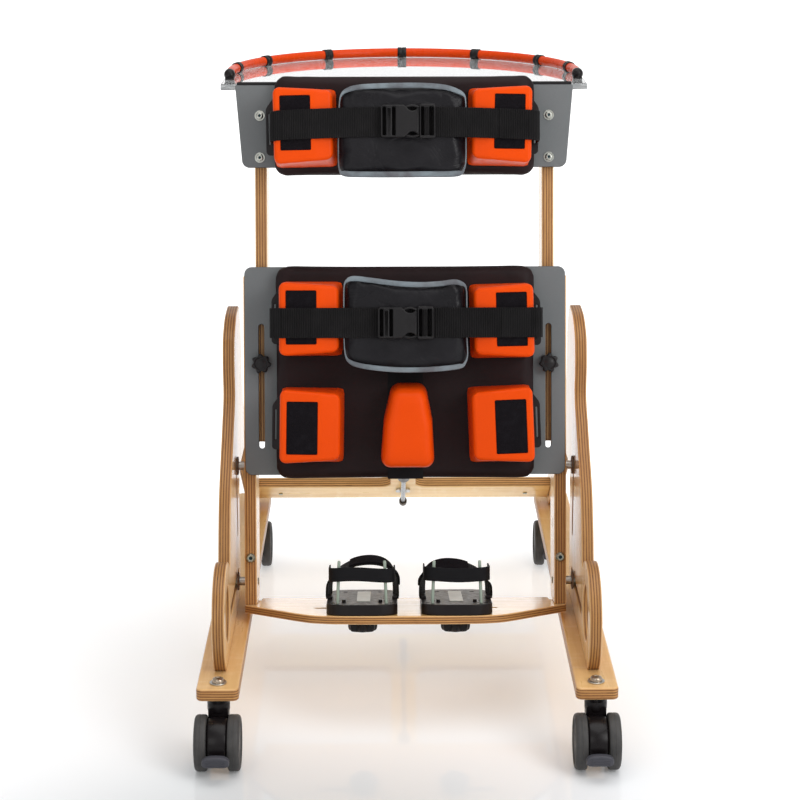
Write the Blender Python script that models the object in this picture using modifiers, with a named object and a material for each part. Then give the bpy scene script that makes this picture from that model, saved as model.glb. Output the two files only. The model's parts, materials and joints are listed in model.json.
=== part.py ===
"""Prone standing frame: a plywood base on four castors, and a padded frame that tilts on it.

Row frame: +X to the right of the user's back, +Y the way the user faces, +Z up, metres.
The origin is on the floor under the middle of the bounding box. Distances called y below
are measured from the floor contact of the rear castors and shifted by Y_MID.
"""

import math

import bmesh
import bpy
from mathutils import Matrix, Vector

# ---------------------------------------------------------------- driving dimensions
PLY = 0.018                 # plywood of the base, posts and cross panel
GAP = 0.0003                # clearance between pieces that touch
Y_MID = 0.437               # middle of the base along y
SIDE_X = 0.2667             # centre plane of the side frames, runners and castors
RUNNER_Z = 0.100            # underside of the runners
RUNNER_TOP = RUNNER_Z + PLY
RUNNER_W = 0.060
RUNNER_Y = (0.004, 0.930)
WHEEL_R = 0.040
TRAIL = 0.029               # castor trail
CONTACTS = (0.0, 0.874)     # y of the wheel contacts
PIN_DIST = 0.177            # distance between the upper and lower guide pins on a post
TILT_0 = math.radians(12.5) # lean of the frame at rest, top away from the user's back
GUIDE_Y = 0.358             # vertical slot
GUIDE_Z = 0.1665            # horizontal slot
POST_OUT = 0.2433           # outer face of the lower posts
POST_IN = POST_OUT - PLY
UP_OUT = 0.2247             # outer face of the upper posts
UP_IN = UP_OUT - PLY
PANEL_T = (0.0403, 0.0493)  # front panels, measured from the posts' middle plane
PAD_T = (0.0496, 0.0766)
BLOCK_T = (0.0770, 0.1460)
STRAP_T = (0.1475, 0.1495)
TRAY_Z = (0.898, 0.908)
RIM_DROP = 0.0004            # the sheet's border, under the rail, lies this much lower than its middle
RAIL_R = 0.0075
PANEL_LOW = Vector((0.864, 0.128))   # lower edge of the sloping cross panel's under face (y, z)
PANEL_HIGH = Vector((0.608, 0.293))  # its upper edge
STRUT_TOP = (0.030, -0.070)          # strut's upper pivot on the tilting frame (s, t)
STRUT_LOW = Vector((0.830, 0.131))   # strut's lower pivot (y, z)

# ---------------------------------------------------------------- scene
for old in list(bpy.data.objects):
    bpy.data.objects.remove(old, do_unlink=True)
parts = bpy.data.collections.new("prone_standing_frame")
cutters = bpy.data.collections.new("cutters")
bpy.context.scene.collection.children.link(parts)
bpy.context.scene.collection.children.link(cutters)


def material(name, colour, rough, metal=0.0, alpha=1.0):
    found = bpy.data.materials.new(name)
    found.use_nodes = True
    shader = found.node_tree.nodes["Principled BSDF"]
    shader.inputs["Base Color"].default_value = (*colour, 1.0)
    shader.inputs["Roughness"].default_value = rough
    shader.inputs["Metallic"].default_value = metal
    shader.inputs["Alpha"].default_value = alpha
    return found


WOOD = material("birch_ply", (0.62, 0.40, 0.21), 0.35)
GREY = material("grey_panel", (0.12, 0.135, 0.135), 0.6)
PAD = material("pad_cover", (0.022, 0.014, 0.015), 0.6)
ORANGE = material("orange_foam", (0.83, 0.09, 0.012), 0.45)
BLACK = material("black_plastic", (0.015, 0.015, 0.016), 0.5)
WEB = material("black_webbing", (0.012, 0.012, 0.013), 0.8)
TYRE = material("castor_tread", (0.07, 0.08, 0.085), 0.6)
STEEL = material("zinc_steel", (0.55, 0.56, 0.57), 0.3, 1.0)
CHROME = material("chrome_rod", (0.75, 0.76, 0.78), 0.12, 1.0)
CLEAR = material("clear_acrylic", (0.9, 0.93, 0.95), 0.05, 0.0, 0.3)
TUBE = material("orange_tube", (0.85, 0.13, 0.02), 0.3)

IDENTITY = Matrix.Identity(4)


def y_of(y):
    return y - Y_MID


def basis(x_axis, y_axis, z_axis, origin):
    m = Matrix((x_axis, y_axis, z_axis)).transposed().to_4x4()
    m.translation = Vector(origin)
    return m


def empty(name, matrix, parent=None):
    made = bpy.data.objects.new(name, None)
    made.empty_display_size = 0.03
    parts.objects.link(made)
    if parent is not None:
        made.parent = parent
        made.matrix_local = parent.matrix_world.inverted() @ matrix
    else:
        made.matrix_local = matrix
    bpy.context.view_layer.update()
    return made


def put(obj, parent, local):
    """Hangs an object on an empty, with its own matrix in that empty's frame."""
    obj.parent = parent
    obj.matrix_local = local
    return obj


def finish_mesh(bm, name, mat, collection=parts):
    bm.normal_update()
    bmesh.ops.recalc_face_normals(bm, faces=bm.faces)
    mesh = bpy.data.meshes.new(name)
    bm.to_mesh(mesh)
    bm.free()
    mesh.materials.append(mat)
    mesh.shade_smooth()
    mesh.set_sharp_from_angle(angle=math.radians(38))
    obj = bpy.data.objects.new(name, mesh)
    collection.objects.link(obj)
    return obj


def evaluated_mesh(obj):
    bpy.context.view_layer.update()
    graph = bpy.context.evaluated_depsgraph_get()
    return bpy.data.meshes.new_from_object(obj.evaluated_get(graph))


def baked(obj, mat):
    """The object with its modifiers made real."""
    mesh = evaluated_mesh(obj)
    mesh.materials.clear()
    mesh.materials.append(mat)
    mesh.shade_smooth()
    mesh.set_sharp_from_angle(angle=math.radians(38))
    obj.modifiers.clear()
    obj.data = mesh
    return obj


def bevelled(obj, width, segments=1, angle=40.0):
    if width > 0:
        mod = obj.modifiers.new("edge", "BEVEL")
        mod.width = width
        mod.segments = segments
        mod.limit_method = "ANGLE"
        mod.angle_limit = math.radians(angle)
        mod.use_clamp_overlap = True
    return obj


def prism(name, loops, depth, mat, bevel=0.0, segments=1, collection=parts):
    """A flat outline (first loop) with holes (the others), extruded by depth about its plane."""
    curve = bpy.data.curves.new(name + "_outline", "CURVE")
    curve.dimensions = "2D"
    curve.fill_mode = "BOTH"
    curve.extrude = depth / 2
    for loop in loops:
        spline = curve.splines.new("POLY")
        spline.points.add(len(loop) - 1)
        for point, at in zip(spline.points, loop):
            point.co = (at[0], at[1], 0, 1)
        spline.use_cyclic_u = True
    flat = bpy.data.objects.new(name + "_flat", curve)
    collection.objects.link(flat)
    mesh = evaluated_mesh(flat)
    bpy.data.objects.remove(flat, do_unlink=True)
    bm = bmesh.new()
    bm.from_mesh(mesh)
    bpy.data.meshes.remove(mesh)
    bmesh.ops.remove_doubles(bm, verts=bm.verts, dist=1e-6)
    return bevelled(finish_mesh(bm, name, mat, collection), bevel, segments)


def box(name, low, high, mat, bevel=0.0, segments=1, collection=parts):
    bm = bmesh.new()
    bmesh.ops.create_cube(bm, size=1.0)
    low, high = Vector(low), Vector(high)
    for v in bm.verts:
        v.co = Vector([low[i] + (v.co[i] + 0.5) * (high[i] - low[i]) for i in range(3)])
    return bevelled(finish_mesh(bm, name, mat, collection), bevel, segments, 30.0)


def rod(name, radius, low, high, mat, sides=20, collection=parts, axis="Z"):
    """A cylinder along a local axis, from low to high."""
    bm = bmesh.new()
    bmesh.ops.create_cone(
        bm, cap_ends=True, segments=sides, radius1=radius, radius2=radius, depth=high - low
    )
    turn = {"X": Matrix.Rotation(math.pi / 2, 4, "Y"), "Y": Matrix.Rotation(-math.pi / 2, 4, "X"), "Z": IDENTITY}[axis]
    shift = {"X": (1, 0, 0), "Y": (0, 1, 0), "Z": (0, 0, 1)}[axis]
    bm.transform(Matrix.Translation(Vector(shift) * (low + high) / 2) @ turn)
    return finish_mesh(bm, name, mat, collection)


def turned(name, profile, steps, mat, axis="Z", collection=parts):
    """A profile of (radius, height) from top to bottom, turned about the axis."""
    bm = bmesh.new()
    verts = [bm.verts.new((r, 0, h)) for r, h in profile]
    for a, b in zip(verts, verts[1:]):
        bm.edges.new((a, b))
    mesh = bpy.data.meshes.new(name)
    bm.to_mesh(mesh)
    bm.free()
    obj = bpy.data.objects.new(name, mesh)
    collection.objects.link(obj)
    mod = obj.modifiers.new("turn", "SCREW")
    mod.steps = mod.render_steps = steps
    mod.use_merge_vertices = True
    mod.merge_threshold = 1e-5
    mod.axis = "Z"
    mesh = evaluated_mesh(obj)
    obj.modifiers.clear()
    bm = bmesh.new()
    bm.from_mesh(mesh)
    bpy.data.meshes.remove(mesh)
    bmesh.ops.remove_doubles(bm, verts=bm.verts, dist=1e-6)
    if axis == "X":
        bm.transform(Matrix.Rotation(math.pi / 2, 4, "Y"))
    bpy.data.objects.remove(obj, do_unlink=True)
    return finish_mesh(bm, name, mat, collection)


def as_tool(obj):
    for c in list(obj.users_collection):
        c.objects.unlink(obj)
    cutters.objects.link(obj)
    obj.hide_render = True
    obj.display_type = "WIRE"
    return obj


def combine(obj, other, operation):
    """Boolean of two objects in the same local frame, made real at once."""
    as_tool(other)
    mod = obj.modifiers.new(operation.lower(), "BOOLEAN")
    mod.operation = operation
    mod.object = other
    mod.solver = "EXACT"
    baked(obj, obj.data.materials[0])
    bpy.data.objects.remove(other, do_unlink=True)
    return obj


def circle(cx, cy, r, n=20, start=0.0):
    return [
        (cx + r * math.cos(start + 2 * math.pi * i / n), cy + r * math.sin(start + 2 * math.pi * i / n))
        for i in range(n)
    ]


def slot(x0, y0, x1, y1, r, n=7):
    """A round-ended slot between two centres."""
    a = math.atan2(y1 - y0, x1 - x0)
    first = [(x1 + r * math.cos(a - math.pi / 2 + math.pi * i / n), y1 + r * math.sin(a - math.pi / 2 + math.pi * i / n)) for i in range(n + 1)]
    second = [(x0 + r * math.cos(a + math.pi / 2 + math.pi * i / n), y0 + r * math.sin(a + math.pi / 2 + math.pi * i / n)) for i in range(n + 1)]
    return first + second


def filleted(points, n=4):
    """A polygon of (x, y, radius) with each corner rounded."""
    out = []
    count = len(points)
    for i in range(count):
        x, y, r = points[i]
        p = Vector((x, y))
        a = (Vector(points[i - 1][:2]) - p)
        b = (Vector(points[(i + 1) % count][:2]) - p)
        if r <= 0:
            out.append((x, y))
            continue
        ua, ub = a.normalized(), b.normalized()
        half = ua.angle(ub) / 2
        reach = min(r / math.tan(half), a.length * 0.499, b.length * 0.499)
        radius = reach * math.tan(half)
        centre = p + (ua + ub).normalized() * (radius / math.sin(half))
        start = p + ua * reach - centre
        turn = start.angle_signed(p + ub * reach - centre)
        for k in range(n + 1):
            v = start.copy()
            v.rotate(Matrix.Rotation(-turn * k / n, 2))
            out.append(tuple(centre + v))
    return out


def rounded_rect(x0, y0, x1, y1, r, n=4):
    return filleted([(x0, y0, r), (x1, y0, r), (x1, y1, r), (x0, y1, r)], n)


def smooth_run(points, per=3):
    """A Catmull-Rom run through the points."""
    out = []
    pts = [Vector(p) for p in points]
    ext = [2 * pts[0] - pts[1]] + pts + [2 * pts[-1] - pts[-2]]
    for i in range(1, len(ext) - 2):
        p0, p1, p2, p3 = ext[i - 1 : i + 3]
        for k in range(per):
            t = k / per
            out.append(tuple(0.5 * ((2 * p1) + (p2 - p0) * t + (2 * p0 - 5 * p1 + 4 * p2 - p3) * t * t + (3 * p1 - p0 - 3 * p2 + p3) * t ** 3)))
    out.append(tuple(pts[-1]))
    return out


# planes that outlines are drawn in
SIDE_PLANE = lambda x: basis((0, 1, 0), (0, 0, 1), (1, 0, 0), (x, -Y_MID, 0))  # outline in (y, z), thickness along x

# ---------------------------------------------------------------- base: runners and side frames
base = empty("base", IDENTITY)


def runner(name, x):
    w = RUNNER_W / 2
    loops = [
        rounded_rect(x - w, y_of(RUNNER_Y[0]), x + w, y_of(RUNNER_Y[1]), 0.009),
        circle(x, y_of(CONTACTS[0] + TRAIL), 0.0058, 14),
        circle(x, y_of(CONTACTS[1] + TRAIL), 0.0058, 14),
    ]
    obj = prism(name, loops, PLY, WOOD)
    return put(obj, base, Matrix.Translation((0, 0, RUNNER_Z + PLY / 2)))


for side, sign in (("left", -1), ("right", 1)):
    runner("runner_" + side, sign * SIDE_X)

DISC = Vector((0.123, 0.181))
DISC_R = 0.080
foot_z = RUNNER_TOP + GAP


def side_outline():
    # round foot, from the notch round the front down to the runner
    start = math.atan2(0.233 - DISC.y, 0.184 - DISC.x)
    end = math.pi + math.asin((DISC.y - foot_z) / DISC_R)
    arc = [(DISC.x + DISC_R * math.cos(start + (end - start) * i / 24), DISC.y + DISC_R * math.sin(start + (end - start) * i / 24)) for i in range(25)]
    # near edge from the top of the horn down to the notch
    near = smooth_run(
        [(0.4625, 0.5616), (0.430, 0.5595), (0.404, 0.5527), (0.376, 0.5375), (0.365, 0.518), (0.359, 0.490), (0.3605, 0.455),
         (0.3485, 0.435), (0.328, 0.419), (0.291, 0.386), (0.252, 0.354), (0.226, 0.326), (0.203, 0.284)], 2
    )
    far = filleted(
        [
            (0.410, foot_z, 0.0),
            (0.410, 0.315, 0.050),
            (0.545, 0.315, 0.060),
            (0.851, foot_z, 0.0),
            (0.888, foot_z, 0.0),
            (0.888, 0.1607, 0.014),
            (0.560, 0.3721, 0.070),
            (0.522, 0.430, 0.060),
            (0.522, 0.520, 0.040),
            (0.490, 0.562, 0.040),
            (0.4700, 0.5616, 0.0),
        ],
        5,
    )
    return arc + far + near


def vertical_slot():
    return slot(GUIDE_Y, 0.2340, GUIDE_Y, GUIDE_Z + PIN_DIST + 0.0015, 0.0077)


def horizontal_slot():
    return slot(0.1890, GUIDE_Z, GUIDE_Y + 0.0005, GUIDE_Z, 0.0077)


for side, sign in (("left", -1), ("right", 1)):
    loops = [side_outline(), circle(0.121, 0.1875, 0.041, 28), vertical_slot(), horizontal_slot()]
    obj = prism("side_frame_" + side, loops, PLY, WOOD)
    put(obj, base, SIDE_PLANE(sign * SIDE_X))

# sloping cross panel between the side frames: a rail and a centre bar that widens to a short head
slope = (PANEL_HIGH - PANEL_LOW).normalized()
half_w = SIDE_X - PLY / 2 - GAP
head_w, head_top = 0.078, 0.292
win_low, win_high, bar = 0.071, 0.244, 0.022
cross = [
    (-half_w, 0, 0.0), (half_w, 0, 0.0), (half_w, win_low, 0.0), (bar, win_low, 0.019), (bar, win_high, 0.019),
    (head_w, win_high, 0.010), (head_w, head_top, 0.014), (-head_w, head_top, 0.014), (-head_w, win_high, 0.010),
    (-bar, win_high, 0.019), (-bar, win_low, 0.019), (-half_w, win_low, 0.0),
]
panel = prism("rear_cross_panel", [filleted(cross, 5)], PLY, WOOD)
up_slope = Vector((0, slope.x, slope.y))
normal = Vector((1, 0, 0)).cross(up_slope)          # away from the floor side is -normal
thick_dir = -normal if normal.z < 0 else normal
origin = Vector((0, y_of(PANEL_LOW.x), PANEL_LOW.y)) + thick_dir * PLY / 2
put(panel, base, basis((1, 0, 0), up_slope, normal, origin))

# bracket plate of the strut's lower end, under the cross panel
plate_at = Vector((0, y_of(PANEL_LOW.x), PANEL_LOW.y)) + up_slope * 0.057 - thick_dir * (0.0015 + GAP)
plate = prism("strut_base_bracket", [filleted([(-0.0125, -0.010, 0.004), (0.0125, -0.010, 0.004), (0.0125, 0.010, 0.0095), (-0.0125, 0.010, 0.0095)], 4)], 0.003, STEEL)
put(plate, base, basis((1, 0, 0), up_slope, normal, plate_at))

# ---------------------------------------------------------------- castors
# all in the frame of the swivel axis' foot on the floor
WHEEL_C = Vector((-TRAIL, WHEEL_R))


def fork_mesh():
    cy, cz = WHEEL_C
    arc = [(cy + 0.036 * math.cos(math.radians(a)), cz + 0.036 * math.sin(math.radians(a))) for a in range(70, 216, 18)]
    hood = arc + [(-0.049, 0.017), (-0.029, 0.016), (-0.010, 0.028), (0.006, 0.050), (0.0150, 0.066), (0.0150, 0.0865), (-0.0150, 0.0865)]
    body = prism("fork_work", [hood, circle(cy, cz, 0.0047, 12)], 0.0278, BLACK)
    body.data.transform(basis((0, 1, 0), (0, 0, 1), (1, 0, 0), (0, 0, 0)))
    baked(body, BLACK)
    stem = turned(
        "stem_work",
        [(0.0, 0.1262), (0.0085, 0.1262), (0.0085, 0.1204), (0.0120, 0.1202), (0.0120, 0.1184), (0.0050, 0.1184),
         (0.0050, 0.0996), (0.0150, 0.0996), (0.0158, 0.0985), (0.0158, 0.0830), (0.0, 0.0830)],
        14, BLACK,
    )
    return combine(body, stem, "UNION")


def wheels_mesh():
    half = [(0.0, 0.0306), (0.0290, 0.0306), (0.0345, 0.0322), (0.0385, 0.0304), (0.0400, 0.0268), (0.0400, 0.0190),
            (0.0383, 0.0152), (0.0345, 0.0147), (0.0042, 0.0147)]
    profile = half + [(r, -h) for r, h in reversed(half)]
    return turned("wheels_work", profile, 18, TYRE, "X")


def pedal_mesh():
    lip = [(-0.0848, 0.0280), (-0.0835, 0.0258), (-0.0760, 0.0254), (-0.0725, 0.0266), (-0.0670, 0.0290), (-0.0670, 0.0370), (-0.0725, 0.0380),
           (-0.0745, 0.0402), (-0.0800, 0.0400)]
    tongue = prism("pedal_work", [lip], 0.0150, BLACK)
    tongue.data.transform(basis((0, 1, 0), (0, 0, 1), (1, 0, 0), (0, 0, 0)))
    baked(tongue, BLACK)
    bar_ = box("pedal_lip", (-0.0195, -0.0850, 0.0250), (0.0195, -0.0735, 0.0408), BLACK, 0.0030)
    baked(bar_, BLACK)
    return combine(tongue, bar_, "UNION")


fork_data = fork_mesh()
wheels_data = wheels_mesh()
pedal_data = pedal_mesh()
PEDAL_AXIS = Vector((0, -0.055, 0.040))

for end, contact in (("rear", CONTACTS[0]), ("front", CONTACTS[1])):
    for side, sign in (("left", -1), ("right", 1)):
        tag = end + "_" + side
        swivel = empty("castor_swivel_" + tag, Matrix.Translation((sign * SIDE_X, y_of(contact + TRAIL), 0)), base)
        fork = bpy.data.objects.new("castor_fork_" + tag, fork_data.data)
        parts.objects.link(fork)
        put(fork, swivel, IDENTITY)
        wheels = bpy.data.objects.new("castor_wheels_" + tag, wheels_data.data)
        parts.objects.link(wheels)
        put(wheels, swivel, Matrix.Translation((0, WHEEL_C.x, WHEEL_C.y)))
        axle = empty("brake_axis_" + tag, swivel.matrix_world @ Matrix.Translation(PEDAL_AXIS), swivel)
        pedal = bpy.data.objects.new("brake_pedal_" + tag, pedal_data.data)
        parts.objects.link(pedal)
        put(pedal, axle, Matrix.Translation(-PEDAL_AXIS))
for work in (fork_data, wheels_data, pedal_data):
    bpy.data.objects.remove(work, do_unlink=True)

# ---------------------------------------------------------------- tilting frame
# Frame coordinates: x across, s up along the posts from the upper guide pin, t towards the user's back.
sin0, cos0 = math.sin(TILT_0), math.cos(TILT_0)
UP = Vector((0, sin0, cos0))
OUT = Vector((0, -cos0, sin0))
PIN_U = Vector((0, y_of(GUIDE_Y), GUIDE_Z + PIN_DIST * cos0))
FRAME = basis((1, 0, 0), UP, OUT, PIN_U)

crank_axis = empty("tilt_crank_axis", Matrix.Translation((0, y_of(GUIDE_Y), GUIDE_Z)), base)
frame_axis = empty("frame_axis", FRAME @ Matrix.Translation((0, -PIN_DIST / 2, 0)), crank_axis)
IN_FRAME = Matrix.Translation((0, PIN_DIST / 2, 0))   # frame coordinates, seen from frame_axis


def on_frame(obj, local=IDENTITY, parent=None):
    parent = parent or frame_axis
    return put(obj, parent, parent.matrix_world.inverted() @ FRAME @ local)


ST = lambda x: basis((0, 1, 0), (0, 0, 1), (1, 0, 0), (x, 0, 0))       # outline in (s, t), thickness along x
XT = lambda s: basis((1, 0, 0), (0, 0, 1), (0, -1, 0), (0, s, 0))      # outline in (x, t), thickness along s
XS = lambda t: Matrix.Translation((0, 0, t))                           # outline in (x, s), thickness along t

for side, sign in (("left", -1), ("right", 1)):
    post = filleted(
        [(-0.2081, 0.0400, 0.0), (-0.2081, -0.0400, 0.022), (0.290, -0.0400, 0.020), (0.290, 0.0400, 0.004)], 5
    )
    loops = [post, circle(0, 0, 0.0045, 14), circle(-PIN_DIST, 0, 0.0045, 14), circle(-PIN_DIST / 2, 0, 0.0054, 16)]
    on_frame(prism("lower_post_" + side, loops, PLY, WOOD), ST(sign * (POST_OUT - PLY / 2)))
    # barrel nut of the post's fore-and-aft bolt, at the middle of the two guide pins
    dowel = rod("cross_dowel_" + side, 0.0050, -0.0086, 0.0086, STEEL, 18, axis="X")
    put(dowel, crank_axis, crank_axis.matrix_world.inverted() @ FRAME @ Matrix.Translation((sign * (POST_OUT - PLY / 2), -PIN_DIST / 2, 0)))


def guide_bolt(name, sign, s, inner):
    """Roller in the side frame's slot, washer against the plate, spacer, shank through the post, and a nut where there is room."""
    plate_in = SIDE_X - PLY / 2
    outer_end = SIDE_X + PLY / 2 - 0.0012
    profile = [(0.0, outer_end), (0.0060, outer_end), (0.0072, outer_end - 0.0012), (0.0072, plate_in - 0.0006), (0.0140, plate_in - 0.0006),
               (0.0140, plate_in - 0.0032), (0.0065, plate_in - 0.0036), (0.0065, POST_OUT + GAP), (0.0040, POST_OUT + GAP)]
    if inner:
        profile += [(0.0040, POST_IN - GAP), (0.0075, POST_IN - GAP), (0.0075, POST_IN - 0.0060), (0.0050, POST_IN - 0.0075), (0.0, POST_IN - 0.0075)]
    else:
        profile += [(0.0040, POST_IN + GAP), (0.0, POST_IN + GAP)]
    obj = turned(name, profile, 14, STEEL, "X")
    turn = IDENTITY if sign > 0 else Matrix.Rotation(math.pi, 4, "Y")
    return on_frame(obj, Matrix.Translation((0, s, 0)) @ turn)


for side, sign in (("left", -1), ("right", 1)):
    guide_bolt("upper_guide_bolt_" + side, sign, 0.0, False)
    guide_bolt("lower_guide_bolt_" + side, sign, -PIN_DIST, True)

foot = filleted(
    [(-POST_OUT, -0.015, 0.0), (-0.222, -0.015, 0.0), (-0.222, -0.040, 0.006), (0.222, -0.040, 0.006), (0.222, -0.015, 0.0), (POST_OUT, -0.015, 0.0), (POST_OUT, 0.042, 0.004), (0.163, 0.1335, 0.0), (0.140, 0.1560, 0.0), (0.108, 0.1670, 0.0),
     (0.055, 0.1700, 0.0), (-0.055, 0.1700, 0.0), (-0.108, 0.1670, 0.0), (-0.140, 0.1560, 0.0), (-0.163, 0.1335, 0.0), (-POST_OUT, 0.042, 0.004)], 3
)
FOOT_S = (-0.2204, -0.2084)
on_frame(
    prism("footplate", [foot, slot(-0.132, 0.078, -0.062, 0.078, 0.0042), slot(0.062, 0.078, 0.132, 0.078, 0.0042)], FOOT_S[1] - FOOT_S[0], WOOD),
    XT((FOOT_S[0] + FOOT_S[1]) / 2),
)

PANEL_X = 0.2410
SLOT_X = 0.2157
SLOT_S = (0.0335, 0.2125)
t_mid = (PANEL_T[0] + PANEL_T[1]) / 2
t_thick = PANEL_T[1] - PANEL_T[0]
pelvic = [
    rounded_rect(-PANEL_X, -0.0105, PANEL_X, 0.3025, 0.011),
    slot(-SLOT_X, SLOT_S[0], -SLOT_X, SLOT_S[1], 0.0042),
    slot(SLOT_X, SLOT_S[0], SLOT_X, SLOT_S[1], 0.0042),
]
on_frame(prism("pelvic_panel", pelvic, t_thick, GREY), XS(t_mid))

# U bracket on the back of the panel that carries the strut's upper eye
ears = [(-0.0140, 0.0400), (-0.0140, -0.0560), (-0.0105, -0.0560), (-0.0105, 0.0365), (0.0105, 0.0365), (0.0105, -0.0560), (0.0140, -0.0560), (0.0140, 0.0400)]
bracket = prism("strut_top_bracket", [[(x, t if t > -0.05 else STRUT_TOP[1] - 0.014) for x, t in ears]], 0.030, STEEL)
on_frame(bracket, XT(STRUT_TOP[0]))

on_frame(prism("pelvic_pad", [rounded_rect(-0.1935, -0.0150, 0.1935, 0.3037, 0.017, 5)], PAD_T[1] - PAD_T[0], PAD, 0.007, 2), XS(sum(PAD_T) / 2))

# ---------------------------------------------------------------- strut
top = FRAME @ Vector((0, *STRUT_TOP))
low = Vector((0, y_of(STRUT_LOW.x), STRUT_LOW.y))
along = (low - top).normalized()
strut_len = (low - top).length
STRUT = basis(Vector((1, 0, 0)), along.cross(Vector((1, 0, 0))), along, top)   # local z runs down the strut
strut_axis = empty("strut_axis", STRUT, frame_axis)
body_end = 0.262
cyl = turned(
    "strut_cylinder",
    [(0.0, 0.018), (0.0095, 0.018), (0.0095, 0.0240), (0.0110, 0.0255), (0.0110, body_end - 0.002), (0.0095, body_end), (0.0050, body_end), (0.0050, 0.110), (0.0, 0.110)][::-1],
    16, BLACK,
)
eye = prism("eye_work", [filleted([(-0.008, -0.008, 0.006), (0.008, -0.008, 0.006), (0.008, 0.022, 0.0), (-0.008, 0.022, 0.0)], 4), circle(0, 0, 0.0040, 12)], 0.012, BLACK)
eye.data.transform(basis((0, 1, 0), (0, 0, 1), (1, 0, 0), (0, 0, 0)))
combine(cyl, eye, "UNION")
put(cyl, strut_axis, IDENTITY)
strut_rod = turned(
    "strut_rod",
    [(0.0, 0.170), (0.0040, 0.170), (0.0040, strut_len - 0.014), (0.0068, strut_len - 0.013), (0.0068, strut_len + 0.004), (0.0045, strut_len + 0.005),
     (0.0045, strut_len + 0.010), (0.0015, strut_len + 0.013), (0.0, strut_len + 0.013)][::-1],
    16, CHROME,
)
put(strut_rod, strut_axis, IDENTITY)

# ---------------------------------------------------------------- supports on the pelvic panel


def block(name, cx, cs, w, h, sign, parent_axis=None):
    """A soft side support with its bracket foot, which runs out past the outer side."""
    axis = empty(name + "_axis", FRAME @ Matrix.Translation((cx, cs, BLOCK_T[0])), parent_axis or frame_axis)
    body = box(name, (cx - w / 2, cs - h / 2, BLOCK_T[0]), (cx + w / 2, cs + h / 2, BLOCK_T[1]), ORANGE, 0.012, 2)
    baked(body, ORANGE)
    x_out = cx + sign * (w / 2 + 0.0085)
    x_in = cx + sign * (w / 2 - 0.020)
    plate_ = box("plate_work", (min(x_in, x_out), cs - h * 0.40, BLOCK_T[0]), (max(x_in, x_out), cs + h * 0.40, BLOCK_T[0] + 0.004), BLACK)
    combine(body, plate_, "UNION")
    on_frame(body, parent=axis)
    return axis


block("hip_block_upper_left", -0.1392, 0.2249, 0.0932, 0.1105, -1)
block("hip_block_upper_right", 0.1425, 0.2212, 0.0932, 0.1105, 1)
block("hip_block_lower_left", -0.1384, 0.0670, 0.0944, 0.1110, -1)
block("hip_block_lower_right", 0.1413, 0.0680, 0.0950, 0.1130, 1)

pommel_axis = empty("pommel_axis", FRAME @ Matrix.Translation((0.003, 0.068, BLOCK_T[0])), frame_axis)
pommel_outline = filleted([(-0.0375, 0.0068, 0.012), (0.0435, 0.0068, 0.012), (0.0405, 0.075, 0.02), (0.0300, 0.1291, 0.014), (-0.0200, 0.1291, 0.014), (-0.0325, 0.075, 0.02)], 4)
pommel = prism("pommel", [pommel_outline], 0.073, ORANGE, 0.010, 2)
on_frame(pommel, XS(BLOCK_T[0] + 0.0365), pommel_axis)


def strap_half(name, sign, inner, outer, s0, s1, parent_axis):
    """Webbing from under the buckle, over the side support and back to its bracket."""
    t0, t1 = STRAP_T
    low_t = BLOCK_T[0] + 0.0046
    r = 0.010
    outside = [(sign * inner, t1)]
    inside = [(sign * inner, t0)]
    for k in range(6):
        a = math.pi / 2 * k / 5
        outside.append((sign * (outer - r + r * math.sin(a)), t1 - r + r * math.cos(a)))
        inside.append((sign * (outer - r + (r - 0.002) * math.sin(a)), t1 - r + (r - 0.002) * math.cos(a)))
    outside.append((sign * outer, low_t))
    inside.append((sign * (outer - 0.002), low_t))
    obj = prism(name, [outside + inside[::-1]], s1 - s0, WEB)
    on_frame(obj, XT((s0 + s1) / 2), parent_axis)


def belly_pad(name, x0, x1, s0, s1, dip, parent_axis):
    top_run = [(x1 + (x0 - x1) * i / 8, s1 - dip * math.sin(math.pi * i / 8)) for i in range(9)]
    low_run = [(x0 + (x1 - x0) * i / 8, s0 - 0.4 * dip * math.sin(math.pi * i / 8)) for i in range(9)]
    obj = prism(name, [top_run + low_run], 0.0280, PAD, 0.006, 2)
    on_frame(obj, XS(0.1462 - 0.0140), parent_axis)


def buckle(name, x0, x1, s0, s1, parent_axis):
    t0 = STRAP_T[1] + 0.0004
    obj = box(name, (x0, s0, t0), (x1, s1, t0 + 0.013), BLACK, 0.004, 2)
    on_frame(obj, parent=parent_axis)


blocks = {o.name: o for o in bpy.data.objects if o.name.endswith("_axis")}
strap_half("pelvic_strap_left", -1, 0.005, 0.1985, 0.1970, 0.2410, blocks["hip_block_upper_left_axis"])
strap_half("pelvic_strap_right", 1, 0.005, 0.2010, 0.1970, 0.2410, blocks["hip_block_upper_right_axis"])
belly_pad("pelvic_belly_pad", -0.0908, 0.0942, 0.1500, 0.2860, 0.010, frame_axis)
buckle("pelvic_buckle", -0.0397, 0.0413, 0.1950, 0.2430, frame_axis)

# ---------------------------------------------------------------- chest section, sliding on the lower posts
chest_axis = empty("chest_slide_axis", FRAME, frame_axis)
TRAY_PIVOT = Vector((0.4785, 0.861))     # (y, z)


def to_frame(y, z):
    rel = Vector((0, y_of(y), z)) - PIN_U
    return rel.dot(UP), rel.dot(OUT)


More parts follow.
